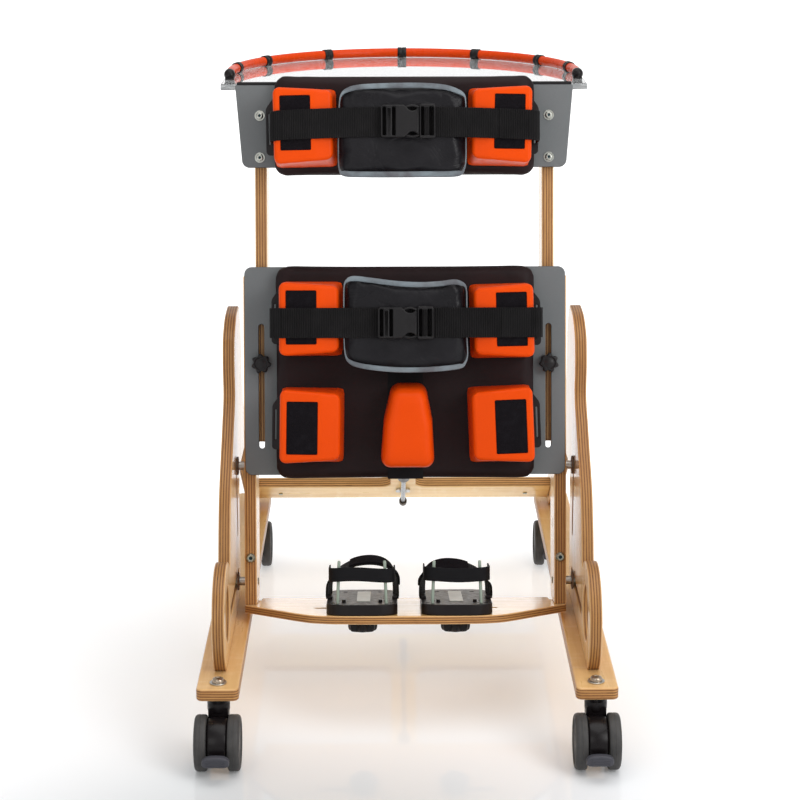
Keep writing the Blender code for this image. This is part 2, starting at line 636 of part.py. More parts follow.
pivot_s, pivot_t = to_frame(*TRAY_PIVOT)
post_top = 0.884
for side, sign in (("left", -1), ("right", 1)):
    s_front = (post_top - PIN_U.z - 0.0375 * sin0) / cos0
    s_back = (post_top - PIN_U.z + 0.0375 * sin0) / cos0
    outline = filleted([(0.039, 0.0375, 0.003), (0.039, -0.0375, 0.003), (s_back, -0.0375, 0.006), (s_front, 0.0375, 0.004)], 3)
    post = prism("upper_post_" + side, [outline, circle(pivot_s, pivot_t, 0.0044, 14)], PLY, WOOD)
    post.data.transform(ST(sign * (UP_OUT - PLY / 2)))
    hole = rod("hole_work", 0.0038, 0.008, 0.060, WOOD, 14)
    hole.data.transform(Matrix.Translation((sign * SLOT_X, 0.1578, 0)))
    combine(post, hole, "DIFFERENCE")
    on_frame(post, parent=chest_axis)


def star(radius, lobes, depth, n=28):
    return [
        ((radius - depth / 2 + depth / 2 * math.cos(lobes * 2 * math.pi * i / n)) * math.cos(2 * math.pi * i / n),
         (radius - depth / 2 + depth / 2 * math.cos(lobes * 2 * math.pi * i / n)) * math.sin(2 * math.pi * i / n))
        for i in range(n)
    ]


def knob(name, radius, low_z, high_z, shank_r, shank_low, local, parent_axis):
    head = prism(name, [star(radius, 7, 0.0028)], high_z - low_z, BLACK, 0.0015)
    baked(head, BLACK)
    head.data.transform(Matrix.Translation((0, 0, (low_z + high_z) / 2)))
    shank = rod("shank_work", shank_r, shank_low, low_z + 0.004, BLACK, 16)
    combine(head, shank, "UNION")
    return on_frame(head, local, parent_axis)


for side, sign in (("left", -1), ("right", 1)):
    at = Matrix.Translation((sign * SLOT_X, 0.1578, 0))
    axis = empty("post_clamp_axis_" + side, FRAME @ at, chest_axis)
    knob("post_clamp_knob_" + side, 0.0150, PANEL_T[1] + 0.0006, PANEL_T[1] + 0.0180, 0.0034, 0.010, at, axis)

chest_outline = filleted([(-0.2423, 0.4512, 0.011), (0.2423, 0.4512, 0.011), (0.2530, 0.5745, 0.003), (-0.2530, 0.5745, 0.003)], 4)
on_frame(prism("chest_panel", [chest_outline], t_thick, GREY), XS(t_mid), chest_axis)
on_frame(prism("chest_pad", [rounded_rect(-0.1940, 0.4380, 0.1940, 0.5887, 0.017, 5)], PAD_T[1] - PAD_T[0], PAD, 0.007, 2), XS(sum(PAD_T) / 2), chest_axis)
cl = block("chest_block_left", -0.1463, 0.5068, 0.0921, 0.1147, -1, chest_axis)
cr = block("chest_block_right", 0.1399, 0.5081, 0.0925, 0.1147, 1, chest_axis)
strap_half("chest_strap_left", -1, 0.002, 0.2035, 0.4890, 0.5325, cl)
strap_half("chest_strap_right", 1, 0.008, 0.1975, 0.4890, 0.5325, cr)
belly_pad("chest_belly_pad", -0.0985, 0.0925, 0.4350, 0.5670, -0.006, chest_axis)
buckle("chest_buckle", -0.0345, 0.0445, 0.4860, 0.5360, chest_axis)

# ---------------------------------------------------------------- tray
tray_axis = empty("tray_axis", Matrix.Translation((0, y_of(TRAY_PIVOT.x), TRAY_PIVOT.y)), chest_axis)
RAIL_A, RAIL_Y0, RAIL_B = 0.2675, 0.560, 0.283


def rail_point(a, grow=0.0):
    return ((RAIL_A + grow) * math.cos(a), RAIL_Y0 + (RAIL_B + grow) * math.sin(a))


tray_outline = [(0.2775, 0.472), (0.2775, 0.548)] + [rail_point(math.pi * i / 36, 0.010) for i in range(37)] + [(-0.2775, 0.548), (-0.2775, 0.472)]
sheet = TRAY_Z[1] - RIM_DROP - TRAY_Z[0]
tray = prism("tray", [[(x, y_of(y)) for x, y in tray_outline]], sheet, CLEAR, 0.0012)
baked(tray, CLEAR)
# the clear middle inside the rail, a shallow step above the border
middle_outline = [(0.2475, 0.505)] + [rail_point(math.pi * i / 24, -0.020) for i in range(25)] + [(-0.2475, 0.505)]
middle = prism("tray_middle_work", [[(x, y_of(y)) for x, y in middle_outline]], 0.0024, CLEAR)
middle.data.transform(Matrix.Translation((0, 0, sheet / 2 + RIM_DROP - 0.0012)))
combine(tray, middle, "UNION")
put(tray, tray_axis, tray_axis.matrix_world.inverted() @ Matrix.Translation((0, 0, TRAY_Z[0] + sheet / 2)))

rail_z = TRAY_Z[1] - RIM_DROP + GAP + RAIL_R
route = [(RAIL_A, 0.531), (RAIL_A, 0.546)] + [rail_point(math.pi * i / 26) for i in range(27)] + [(-RAIL_A, 0.546), (-RAIL_A, 0.531)]
tube = bpy.data.curves.new("tray_rail_path", "CURVE")
tube.dimensions = "3D"
tube.bevel_depth = RAIL_R
tube.bevel_resolution = 2
tube.use_fill_caps = True
spline = tube.splines.new("POLY")
spline.points.add(len(route) - 1)
for point, (x, y) in zip(spline.points, route):
    point.co = (x, y_of(y), rail_z, 1)
tube_obj = bpy.data.objects.new("tray_rail_curve", tube)
parts.objects.link(tube_obj)
mesh = evaluated_mesh(tube_obj)
bpy.data.objects.remove(tube_obj, do_unlink=True)
bm = bmesh.new()
bm.from_mesh(mesh)
bmesh.ops.remove_doubles(bm, verts=bm.verts, dist=1e-6)
rail = finish_mesh(bm, "tray_rail", TUBE)
put(rail, tray_axis, tray_axis.matrix_world.inverted())

# hinge bracket under the tray's near edge, with its ears on the inner faces of the upper posts
ear_x = UP_IN - 0.0008
hinge = box("tray_hinge_bracket", (-ear_x, y_of(0.474), TRAY_Z[0] - GAP - 0.003), (ear_x, y_of(0.514), TRAY_Z[0] - GAP), STEEL)
for sign in (-1, 1):
    x0, x1 = sorted((sign * ear_x, sign * (ear_x - 0.003)))
    ear = box("ear_work", (x0, y_of(0.4690), 0.8515), (x1, y_of(0.5000), TRAY_Z[0] - GAP - 0.0005), STEEL, 0.0)
    combine(hinge, ear, "UNION")
    pin = rod("pin_work", 0.0040, -0.0065, 0.0065, STEEL, 14, axis="X")
    pin.data.transform(Matrix.Translation((sign * (UP_IN + 0.0040), y_of(TRAY_PIVOT.x), TRAY_PIVOT.y)))
    combine(hinge, pin, "UNION")
put(hinge, tray_axis, tray_axis.matrix_world.inverted())

# ---------------------------------------------------------------- sandals
SANDAL_X = {"left": -0.0650, "right": 0.0742}   # as the user set them
SANDAL_T = 0.078
SOLE_HALF = 0.0523


def sandal(side, cx, parent_axis):
    """Base plate, two upright heel rods, a heel band and an instep strap in one solid."""
    s_low, s_top = FOOT_S[1] + GAP, FOOT_S[1] + 0.0163
    sole = filleted([(cx - SOLE_HALF, -0.012, 0.030), (cx + SOLE_HALF, -0.012, 0.030), (cx + SOLE_HALF, 0.158, 0.020), (cx + 0.036, 0.167, 0.02),
                     (cx - 0.036, 0.167, 0.02), (cx - SOLE_HALF, 0.158, 0.020)], 4)
    body = prism("sandal_" + side, [sole], s_top - s_low, BLACK)
    baked(body, BLACK)
    body.data.transform(XT((s_low + s_top) / 2))
    for dx in (-0.0350, 0.0350):
        stake = rod("stake_work", 0.0024, s_top - 0.003, -0.1340, STEEL, 8, axis="Y")
        stake.data.transform(Matrix.Translation((cx + dx, 0, 0.148)))
        combine(body, stake, "UNION")
    # instep strap: an arch in the plane across the foot
    outer, inner = [], []
    for k in range(11):
        a = math.pi * k / 10
        lift = math.sin(a) ** 0.8
        outer.append((cx + 0.0500 * math.cos(a), -0.1690 + 0.0400 * lift))
        inner.append((cx + 0.0475 * math.cos(a), -0.1690 + 0.0375 * lift))
    root_s = s_top - 0.002
    arch = [(cx + 0.0500, root_s)] + outer + [(cx - 0.0500, root_s), (cx - 0.0475, root_s)] + inner[::-1] + [(cx + 0.0475, root_s)]
    strap = prism("strap_work", [arch], 0.032, WEB)
    strap.data.transform(Matrix.Translation((0, 0, 0.066)))
    combine(body, strap, "UNION")
    # heel band: from the strap's sides round behind the heel
    out_run = filleted([(cx - 0.0500, 0.060, 0.0), (cx + 0.0500, 0.060, 0.0), (cx + 0.0500, 0.168, 0.030), (cx - 0.0500, 0.168, 0.030)], 5)
    in_run = filleted([(cx - 0.0475, 0.060, 0.0), (cx + 0.0475, 0.060, 0.0), (cx + 0.0475, 0.1655, 0.0275), (cx - 0.0475, 0.1655, 0.0275)], 5)
    ring = out_run[1:] + [out_run[0], in_run[0]] + in_run[1:][::-1]
    band = prism("band_work", [ring], 0.0230, WEB)
    band.data.transform(XT(-0.1495))
    combine(body, band, "UNION")
    return on_frame(body, parent=parent_axis)


for side, sign in (("left", -1), ("right", 1)):
    cx = SANDAL_X[side]
    slide = empty("sandal_slide_axis_" + side, FRAME @ Matrix.Translation((cx, FOOT_S[0], SANDAL_T)), frame_axis)
    turn = empty("sandal_turn_axis_" + side, FRAME @ Matrix.Translation((cx, FOOT_S[1], SANDAL_T)), slide)
    # clamp knob under the footplate, its own z pointing down
    down = basis((1, 0, 0), (0, 0, 1), (0, -1, 0), (cx, 0, SANDAL_T))
    knob("sandal_clamp_knob_" + side, 0.0225, -FOOT_S[0] + 0.0006, -FOOT_S[0] + 0.0226, 0.0036, -FOOT_S[1] + 0.0010, down, slide)
    sandal(side, cx, turn)
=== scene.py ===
import json
import math

import bmesh
import bpy
from mathutils import Matrix, Vector, noise

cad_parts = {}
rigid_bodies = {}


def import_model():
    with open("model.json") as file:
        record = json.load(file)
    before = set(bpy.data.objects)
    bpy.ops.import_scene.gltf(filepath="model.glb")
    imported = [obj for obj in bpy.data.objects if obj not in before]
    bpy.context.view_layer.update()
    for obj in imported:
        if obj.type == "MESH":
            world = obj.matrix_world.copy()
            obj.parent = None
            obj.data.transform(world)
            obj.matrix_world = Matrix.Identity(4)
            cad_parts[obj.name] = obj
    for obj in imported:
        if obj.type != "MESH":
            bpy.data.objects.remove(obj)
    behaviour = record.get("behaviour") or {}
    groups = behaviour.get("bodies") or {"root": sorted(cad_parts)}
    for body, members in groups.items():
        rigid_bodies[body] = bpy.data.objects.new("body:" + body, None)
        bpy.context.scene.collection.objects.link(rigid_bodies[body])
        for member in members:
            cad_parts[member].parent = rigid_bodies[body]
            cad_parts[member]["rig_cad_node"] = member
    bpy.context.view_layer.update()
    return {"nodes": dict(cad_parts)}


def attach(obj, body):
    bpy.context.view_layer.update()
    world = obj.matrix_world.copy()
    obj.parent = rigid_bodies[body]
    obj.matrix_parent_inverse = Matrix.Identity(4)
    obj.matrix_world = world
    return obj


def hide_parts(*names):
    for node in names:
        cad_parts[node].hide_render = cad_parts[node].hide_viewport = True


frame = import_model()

bpy.context.scene.frame_set(1)

# ---------------------------------------------------------------- frames and dimensions (metres)
for old in list(bpy.data.objects):
    if old.name in ("Cube", "Light", "Camera") and "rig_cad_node" not in old:
        bpy.data.objects.remove(old, do_unlink=True)

Y_MID = 0.437
PLY = 0.018
SIDE_X = 0.2667
TILT_0 = math.radians(12.5)
UP = Vector((0, math.sin(TILT_0), math.cos(TILT_0)))
OUT = Vector((0, -math.cos(TILT_0), math.sin(TILT_0)))
PIN_DIST = 0.177
GUIDE_Y, GUIDE_Z = 0.358, 0.1665
PIN_U = Vector((0, GUIDE_Y - Y_MID, GUIDE_Z + PIN_DIST * math.cos(TILT_0)))
SLOT_X = 0.2157
PANEL_T = (0.0403, 0.0493)
PAD_T = (0.0496, 0.0766)
BLOCK_T = (0.0770, 0.1460)
FOOT_S = (-0.2204, -0.2084)


def basis(x_axis, y_axis, z_axis, origin):
    m = Matrix((x_axis, y_axis, z_axis)).transposed().to_4x4()
    m.translation = Vector(origin)
    return m


FRAME = basis((1, 0, 0), UP, OUT, PIN_U)
ROW = Matrix.Identity(4)
ST = lambda x: FRAME @ basis((0, 1, 0), (0, 0, 1), (1, 0, 0), (x, 0, 0))    # outline in (s, t), thickness along x
XT = lambda s: FRAME @ basis((1, 0, 0), (0, 0, 1), (0, -1, 0), (0, s, 0))   # outline in (x, t), thickness along s
XS = lambda t: FRAME @ Matrix.Translation((0, 0, t))                        # outline in (x, s), thickness along t
YZ = lambda x: basis((0, 1, 0), (0, 0, 1), (1, 0, 0), (x, -Y_MID, 0))       # outline in (y, z), thickness along x


def at(x, s, t):
    return PIN_U + Vector((x, 0, 0)) + UP * s + OUT * t


# ---------------------------------------------------------------- node materials
class Nodes:
    """A short way to write node trees: each call adds a node and returns its output socket."""

    def __init__(self, name, rough=0.5, metal=0.0, **constants):
        self.mat = bpy.data.materials.new(name)
        self.mat.use_nodes = True
        self.tree = self.mat.node_tree
        self.shader = self.tree.nodes["Principled BSDF"]
        self.set("Roughness", rough)
        self.set("Metallic", metal)
        for key, value in constants.items():
            self.set(key.replace("_", " "), value)
        self.coords = self.tree.nodes.new("ShaderNodeTexCoord")

    def set(self, socket, value):
        target = self.shader.inputs[socket]
        if hasattr(value, "links"):
            self.tree.links.new(value, target)
        elif isinstance(value, (tuple, list)) and len(value) == 3 and len(target.default_value) == 4:
            target.default_value = (*value, 1.0)
        else:
            target.default_value = value

    def node(self, kind, inputs=None, out=0, **props):
        made = self.tree.nodes.new(kind)
        for key, value in props.items():
            setattr(made, key, value)
        for key, value in (inputs or {}).items():
            target = made.inputs[key]
            if hasattr(value, "links"):
                self.tree.links.new(value, target)
            elif isinstance(value, (tuple, list)) and len(value) == 3 and hasattr(target.default_value, "__len__") and len(target.default_value) == 4:
                target.default_value = (*value, 1.0)
            else:
                target.default_value = value
        return made.outputs[out]

    def math(self, operation, a, b=0.0, c=0.0, clamp=False):
        return self.node("ShaderNodeMath", {0: a, 1: b, 2: c}, operation=operation, use_clamp=clamp)

    def dot(self, vector, axis):
        return self.node("ShaderNodeVectorMath", {0: vector, 1: tuple(axis)}, out=1, operation="DOT_PRODUCT")

    def scaled(self, vector, by):
        return self.node("ShaderNodeVectorMath", {0: vector, 1: by}, operation="MULTIPLY")

    def combine(self, x, y, z):
        return self.node("ShaderNodeCombineXYZ", {0: x, 1: y, 2: z})

    def noise(self, vector, scale, detail=3.0, rough=0.5, distort=0.0):
        return self.node("ShaderNodeTexNoise", {"Vector": vector, "Scale": scale, "Detail": detail, "Roughness": rough, "Distortion": distort})

    def ramp(self, value, low, high, a=0.0, b=1.0, smooth=True):
        return self.node("ShaderNodeMapRange", {"Value": value, "From Min": low, "From Max": high, "To Min": a, "To Max": b},
                         interpolation_type="SMOOTHSTEP" if smooth else "LINEAR", clamp=True)

    def mix(self, factor, a, b, mode="MIX"):
        made = self.tree.nodes.new("ShaderNodeMix")
        made.data_type = "RGBA"
        made.blend_type = mode
        for key, value in ((0, factor), (6, a), (7, b)):
            target = made.inputs[key]
            if hasattr(value, "links"):
                self.tree.links.new(value, target)
            elif isinstance(value, (tuple, list)) and len(value) == 3:
                target.default_value = (*value, 1.0)
            else:
                target.default_value = value
        return made.outputs[2]

    def bump(self, height, distance, strength=1.0, normal=None):
        inputs = {"Height": height, "Distance": distance, "Strength": strength}
        if normal is not None:
            inputs["Normal"] = normal
        return self.node("ShaderNodeBump", inputs)

    @property
    def place(self):
        return self.coords.outputs["Object"]

    @property
    def normal(self):
        return self.coords.outputs["Normal"]


def ply(name, axis, centre, thick, grain, plies=9, tone=1.0, coat=0.45, edge_tone=1.0):
    """Varnished birch plywood: veneer on the two faces, stacked plies and glue lines on every edge."""
    n = Nodes(name, 0.33, Coat_Weight=coat, Coat_Roughness=0.10, Coat_IOR=1.45, Specular_IOR_Level=0.25)
    axis, grain = Vector(axis).normalized(), Vector(grain).normalized()
    third = axis.cross(grain)
    p = n.place
    d, g, w = n.dot(p, axis), n.dot(p, grain), n.dot(p, third)
    depth = n.math("SUBTRACT", d, float(axis.dot(Vector(centre))))
    # veneer face
    face_at = n.combine(n.math("MULTIPLY", g, 5.0), n.math("MULTIPLY", w, 60.0), n.math("MULTIPLY", d, 30.0))
    broad = n.noise(n.combine(n.math("MULTIPLY", g, 2.2), n.math("MULTIPLY", w, 16.0), d), 1.0, 3.0, 0.55, 0.6)
    figure = n.noise(face_at, 1.0, 5.0, 0.62, 0.4)
    pores = n.noise(n.combine(n.math("MULTIPLY", g, 110.0), n.math("MULTIPLY", w, 1300.0), n.math("MULTIPLY", d, 700.0)), 1.0, 2.0, 0.5)
    veneer = n.mix(n.ramp(figure, 0.30, 0.72), (0.760, 0.465, 0.185), (0.640, 0.360, 0.130))
    veneer = n.mix(n.ramp(broad, 0.35, 0.75, 0.0, 0.45), veneer, (0.840, 0.570, 0.270))
    veneer = n.mix(n.ramp(pores, 0.62, 0.78, 0.0, 0.22), veneer, (0.42, 0.23, 0.095))
    # pale medullary shimmer across the grain
    shimmer = n.noise(n.combine(n.math("MULTIPLY", g, 75.0), n.math("MULTIPLY", w, 22.0), d), 1.0, 2.0, 0.5)
    veneer = n.mix(n.ramp(shimmer, 0.50, 0.80, 0.0, 0.16), veneer, (0.93, 0.76, 0.52))
    # edge: plies
    wobble = n.noise(n.combine(n.math("MULTIPLY", g, 24.0), n.math("MULTIPLY", w, 24.0), 0.0), 1.0, 2.0, 0.5)
    u = n.math("ADD", n.math("MULTIPLY", depth, 1.0 / thick), 0.5)
    u = n.math("ADD", u, n.math("MULTIPLY", n.math("SUBTRACT", wobble, 0.5), 0.030))
    layer = n.math("MULTIPLY", u, (plies - 1) / 2 + 0.62)
    frac = n.math("FRACT", layer)
    index = n.math("FLOOR", layer)
    odd = n.math("MULTIPLY", n.ramp(frac, 0.58, 0.65), n.ramp(frac, 1.0, 0.94))
    vary = n.node("ShaderNodeTexWhiteNoise", {"W": n.math("ADD", index, 3.0)}, noise_dimensions="1D")
    streak = n.noise(n.combine(n.math("MULTIPLY", d, 950.0), n.math("MULTIPLY", g, 26.0), n.math("MULTIPLY", w, 26.0)), 1.0, 4.0, 0.6, 0.3)
    ends = n.noise(n.combine(n.math("MULTIPLY", d, 1500.0), n.math("MULTIPLY", g, 520.0), n.math("MULTIPLY", w, 520.0)), 1.0, 2.0, 0.5)
    patch = n.noise(n.combine(n.math("MULTIPLY", d, 60.0), n.math("MULTIPLY", g, 11.0), n.math("MULTIPLY", w, 11.0)), 1.0, 2.0, 0.5)
    long_ply = n.mix(n.ramp(streak, 0.32, 0.70), (0.470, 0.245, 0.082), (0.340, 0.158, 0.048))
    cross_ply = n.mix(n.ramp(ends, 0.35, 0.68), (0.190, 0.078, 0.026), (0.100, 0.038, 0.013))
    edge = n.mix(odd, long_ply, cross_ply)
    edge = n.mix(n.math("MULTIPLY", vary, 0.22), edge, (0.30, 0.135, 0.045))
    edge = n.mix(n.ramp(patch, 0.42, 0.74, 0.0, 0.30), edge, (0.25, 0.110, 0.038))
    glue = n.math("MAXIMUM", n.ramp(n.math("ABSOLUTE", n.math("SUBTRACT", frac, 0.63)), 0.06, 0.0), n.ramp(frac, 0.93, 0.98))
    gaps = n.ramp(n.noise(n.combine(n.math("MULTIPLY", index, 7.3), n.math("MULTIPLY", g, 38.0), n.math("MULTIPLY", w, 38.0)), 1.0, 1.0, 0.5), 0.70, 0.74, 0.0, 0.75)
    edge = n.mix(n.math("MULTIPLY", glue, 0.55), edge, (0.085, 0.032, 0.012))
    # painted shade: small voids in the cross plies (the gaps mask) are painted near black
    edge = n.mix(n.math("MULTIPLY", gaps, odd), edge, (0.060, 0.022, 0.010))
    edge = n.mix(1.0, edge, (edge_tone, edge_tone, edge_tone), "MULTIPLY")
    # which side of the board this is, from the surface's own direction
    facing = n.math("ABSOLUTE", n.dot(n.normal, axis))
    is_face = n.ramp(facing, 0.55, 0.93)
    colour = n.mix(is_face, edge, veneer)
    # sanded arris, a little paler where the varnish is thin
    arris = n.math("MULTIPLY", n.ramp(facing, 0.25, 0.55), n.ramp(facing, 0.97, 0.80))
    colour = n.mix(n.math("MULTIPLY", arris, 0.30), colour, (0.72, 0.47, 0.24))
    if tone != 1.0:
        colour = n.mix(1.0, colour, tone if isinstance(tone, tuple) else (tone, tone, tone), "MULTIPLY")
    n.set("Base Color", colour)
    n.set("Coat Weight", n.math("MULTIPLY_ADD", is_face, coat, 0.06))
    n.set("Roughness", n.math("ADD", n.ramp(figure, 0.3, 0.8, 0.26, 0.40), n.math("MULTIPLY", n.math("SUBTRACT", 1.0, is_face), 0.06)))
    height = n.math("ADD", n.math("MULTIPLY", pores, 0.35), n.math("MULTIPLY", n.math("MULTIPLY", n.math("SUBTRACT", 1.0, is_face), glue), -0.6))
    height = n.math("ADD", height, n.math("MULTIPLY", streak, n.math("MULTIPLY", n.math("SUBTRACT", 1.0, is_face), 0.5)))
    n.set("Normal", n.bump(height, 0.00022, 0.55))
    return n.mat


def speckled(name, base, other, rough, scale, bump_mm, spec=0.25, edge=None, edge_axis=None, spread=0.5, **more):
    """A coated or moulded surface with fine grain."""
    n = Nodes(name, rough, Specular_IOR_Level=spec, **more)
    p = n.place
    fine = n.noise(p, scale, 2.0, 0.6)
    mid = n.noise(p, scale / 9.0, 3.0, 0.5)
    big = n.noise(p, 9.0, 3.0, 0.5)
    colour = n.mix(n.ramp(fine, 0.35, 0.70, 0.0, spread), base, other)
    colour = n.mix(n.ramp(big, 0.3, 0.8, 0.0, 0.22), colour, other)
    if edge is not None:
        facing = n.math("ABSOLUTE", n.dot(n.normal, edge_axis))
        colour = n.mix(n.ramp(facing, 0.85, 0.55), colour, edge)
    n.set("Base Color", colour)
    n.set("Roughness", n.math("ADD", rough - 0.05, n.ramp(mid, 0.3, 0.7, 0.0, 0.12)))
    height = n.math("ADD", n.math("MULTIPLY", fine, 1.0), n.math("MULTIPLY", mid, 0.6))
    n.set("Normal", n.bump(height, bump_mm / 1000.0, 0.8))
    return n.mat


def cloth_cover(name, base, sheen_tint, rough, sheen, weave=900.0, wrinkle=0.6, grain_mm=0.12, spec=0.18):
    """Coated upholstery cloth: fine weave, soft creases with painted shade in their hollows, lighter patches at random
    and the sheen it is given.
    """
    n = Nodes(name, rough, Specular_IOR_Level=spec, Sheen_Weight=sheen, Sheen_Roughness=0.45, Sheen_Tint=(*sheen_tint, 1.0))
    p = n.place
    u, v = n.dot(p, (1, 0, 0)), n.dot(p, UP)
    warp = n.math("SINE", n.math("MULTIPLY", u, weave * 6.2832))
    weft = n.math("SINE", n.math("MULTIPLY", v, weave * 6.2832))
    weave_h = n.math("MULTIPLY", warp, weft)
    leather = n.node("ShaderNodeTexVoronoi", {"Vector": p, "Scale": 520.0}, feature="DISTANCE_TO_EDGE")
    creases = n.noise(n.combine(n.math("MULTIPLY", u, 14.0), n.math("MULTIPLY", v, 22.0), 0.0), 1.0, 5.0, 0.62, 1.6)
    clouds = n.noise(p, 16.0, 4.0, 0.55)
    lighter = tuple(min(1.0, c * 1.7 + 0.002) for c in base)
    crease_painted_shade = tuple(c * 0.62 for c in base)
    colour = n.mix(n.ramp(clouds, 0.35, 0.75, 0.0, 0.55), base, lighter)
    # painted shade: the hollows of the creases are painted darker
    colour = n.mix(n.ramp(creases, 0.28, 0.45, 0.45, 0.0), colour, crease_painted_shade)
    n.set("Base Color", colour)
    n.set("Roughness", n.ramp(clouds, 0.3, 0.8, rough - 0.08, rough + 0.10))
    height = n.math("ADD", n.math("MULTIPLY", weave_h, 0.12), n.math("MULTIPLY", n.ramp(leather, 0.0, 0.12), 0.35))
    first = n.bump(height, grain_mm / 1000.0, 0.7)
    n.set("Normal", n.bump(creases, 0.0022 * wrinkle, 0.8, first))
    return n.mat


def webbing(name, direction, ribs, colour=(0.0078, 0.0070, 0.0074)):
    n = Nodes(name, 0.62, Specular_IOR_Level=0.12, Sheen_Weight=0.0, Sheen_Roughness=0.4, Sheen_Tint=(0.5, 0.5, 0.55, 1.0))
    p = n.place
    across = n.dot(p, direction)
    thread = n.math("SINE", n.math("MULTIPLY", across, 6.2832 / 0.00085))
    fuzz = n.noise(p, 1400.0, 2.0, 0.6)
    cloud = n.noise(p, 35.0, 3.0, 0.5)
    shade = n.mix(n.ramp(cloud, 0.35, 0.75, 0.0, 0.6), colour, tuple(c * 1.9 for c in colour))
    shade = n.mix(n.ramp(fuzz, 0.55, 0.8, 0.0, 0.30), shade, (0.026, 0.026, 0.028))
    rib = n.math("SINE", n.math("MULTIPLY", n.dot(p, ribs), 6.2832 / 0.0026))
    # painted shade: the grooves between the ribs are painted darker
    shade = n.mix(n.ramp(rib, -0.9, 0.3, 0.80, 0.0), shade, (0.0016, 0.0016, 0.0018))
    n.set("Base Color", shade)
    n.set("Roughness", n.ramp(fuzz, 0.3, 0.7, 0.50, 0.72))
    fine = n.bump(n.math("ADD", n.math("MULTIPLY", thread, 0.5), n.math("MULTIPLY", fuzz, 0.7)), 0.00016, 0.9)
    n.set("Normal", n.bump(rib, 0.00045, 0.9, fine))
    return n.mat


def hook_fabric(name):
    n = Nodes(name, 0.85, Specular_IOR_Level=0.08, Sheen_Weight=0.0, Sheen_Roughness=0.6, Sheen_Tint=(0.35, 0.4, 0.5, 1.0))
    p = n.place
    cells = n.node("ShaderNodeTexVoronoi", {"Vector": p, "Scale": 950.0}, feature="F1")
    fuzz = n.noise(p, 1600.0, 3.0, 0.7)
    cloud = n.noise(p, 90.0, 3.0, 0.5)
    colour = n.mix(n.ramp(fuzz, 0.4, 0.75), (0.0040, 0.0030, 0.0040), (0.0140, 0.0115, 0.0150))
    colour = n.mix(n.ramp(cloud, 0.45, 0.75, 0.0, 0.25), colour, (0.018, 0.016, 0.020))
    n.set("Base Color", colour)
    n.set("Normal", n.bump(n.math("ADD", cells, fuzz), 0.0007, 1.0))
    return n.mat


def steel(name, tint=(0.62, 0.62, 0.60), rough=0.28, brushed=None):
    n = Nodes(name, rough, 1.0)
    p = n.place
    cloud = n.noise(p, 60.0, 4.0, 0.6)
    fine = n.noise(p if brushed is None else n.scaled(p, brushed), 900.0, 2.0, 0.5)
    colour = n.mix(n.ramp(cloud, 0.35, 0.7), tint, tuple(c * 0.78 for c in tint))
    colour = n.mix(n.ramp(cloud, 0.62, 0.8, 0.0, 0.35), colour, (0.66, 0.60, 0.44))
    n.set("Base Color", colour)
    n.set("Roughness", n.ramp(fine, 0.3, 0.7, rough - 0.08, rough + 0.12))
    n.set("Normal", n.bump(fine, 0.00005, 0.6))
    return n.mat


def acrylic(name):
    n = Nodes(name, 0.02, Transmission_Weight=1.0, IOR=1.49, Coat_Weight=1.0, Coat_Roughness=0.01, Coat_IOR=1.8)
    p = n.place
    scratch = n.noise(n.scaled(p, (40.0, 900.0, 1.0)), 1.0, 2.0, 0.5)
    cloud = n.noise(p, 5.0, 2.0, 0.5)
    n.set("Base Color", n.mix(n.ramp(cloud, 0.3, 0.7), (0.955, 0.975, 0.975), (0.93, 0.96, 0.965)))
    n.set("Roughness", n.ramp(scratch, 0.62, 0.85, 0.010, 0.03))
    return n.mat


def sheet_edge(name):
    """The sawn and flame-polished edge of the sheet, painted greyer than its faces: painted shade seen through the
    clear edge.
    """
    n = Nodes(name, 0.22, Transmission_Weight=0.35, IOR=1.49, Coat_Weight=0.6, Coat_Roughness=0.08)
    p = n.place
    cloud = n.noise(n.scaled(p, (60.0, 60.0, 420.0)), 1.0, 3.0, 0.5)
    n.set("Base Color", n.mix(n.ramp(cloud, 0.3, 0.7), (0.34, 0.36, 0.37), (0.56, 0.58, 0.59)))
    n.set("Roughness", n.ramp(cloud, 0.3, 0.7, 0.16, 0.32))
    return n.mat


def satin(name):
    n = Nodes(name, 0.36, Specular_IOR_Level=0.3, Sheen_Weight=0.06, Sheen_Roughness=0.3, Sheen_Tint=(0.8, 0.9, 1.0, 1.0))
    p = n.place
    u = n.dot(p, (1, 0, 0))
    rib = n.math("SINE", n.math("MULTIPLY", u, 6.2832 / 0.0011))
    cloud = n.noise(p, 28.0, 4.0, 0.55)
    colour = n.mix(n.ramp(cloud, 0.35, 0.72), (0.175, 0.212, 0.235), (0.085, 0.088, 0.100))
    colour = n.mix(n.ramp(n.noise(p, 8.0, 2.0, 0.5), 0.45, 0.75, 0.0, 0.5), colour, (0.120, 0.085, 0.082))
    n.set("Base Color", colour)
    n.set("Roughness", n.ramp(cloud, 0.3, 0.7, 0.30, 0.46))
    n.set("Normal", n.bump(n.math("ADD", n.math("MULTIPLY", rib, 0.4), cloud), 0.00035, 0.7))
    return n.mat


def tyre(name):
    """Grey rubber with faint moulding lines round the tread; the axle runs along X."""
    n = Nodes(name, 0.52, Specular_IOR_Level=0.22)
    p = n.place
    fine = n.noise(p, 1300.0, 2.0, 0.6)
    cloud = n.noise(p, 40.0, 4.0, 0.55)
    lines = n.math("SINE", n.math("MULTIPLY", n.dot(p, (1, 0, 0)), 6.2832 / 0.0046))
    colour = n.mix(n.ramp(cloud, 0.35, 0.7), (0.062, 0.059, 0.058), (0.046, 0.045, 0.045))
    colour = n.mix(n.ramp(lines, 0.80, 1.0, 0.0, 0.25), colour, (0.088, 0.082, 0.060))
    n.set("Base Color", colour)
    n.set("Roughness", n.ramp(cloud, 0.3, 0.7, 0.44, 0.60))
    n.set("Normal", n.bump(n.math("ADD", fine, n.math("MULTIPLY", cloud, 1.2)), 0.00018, 0.8))
    return n.mat


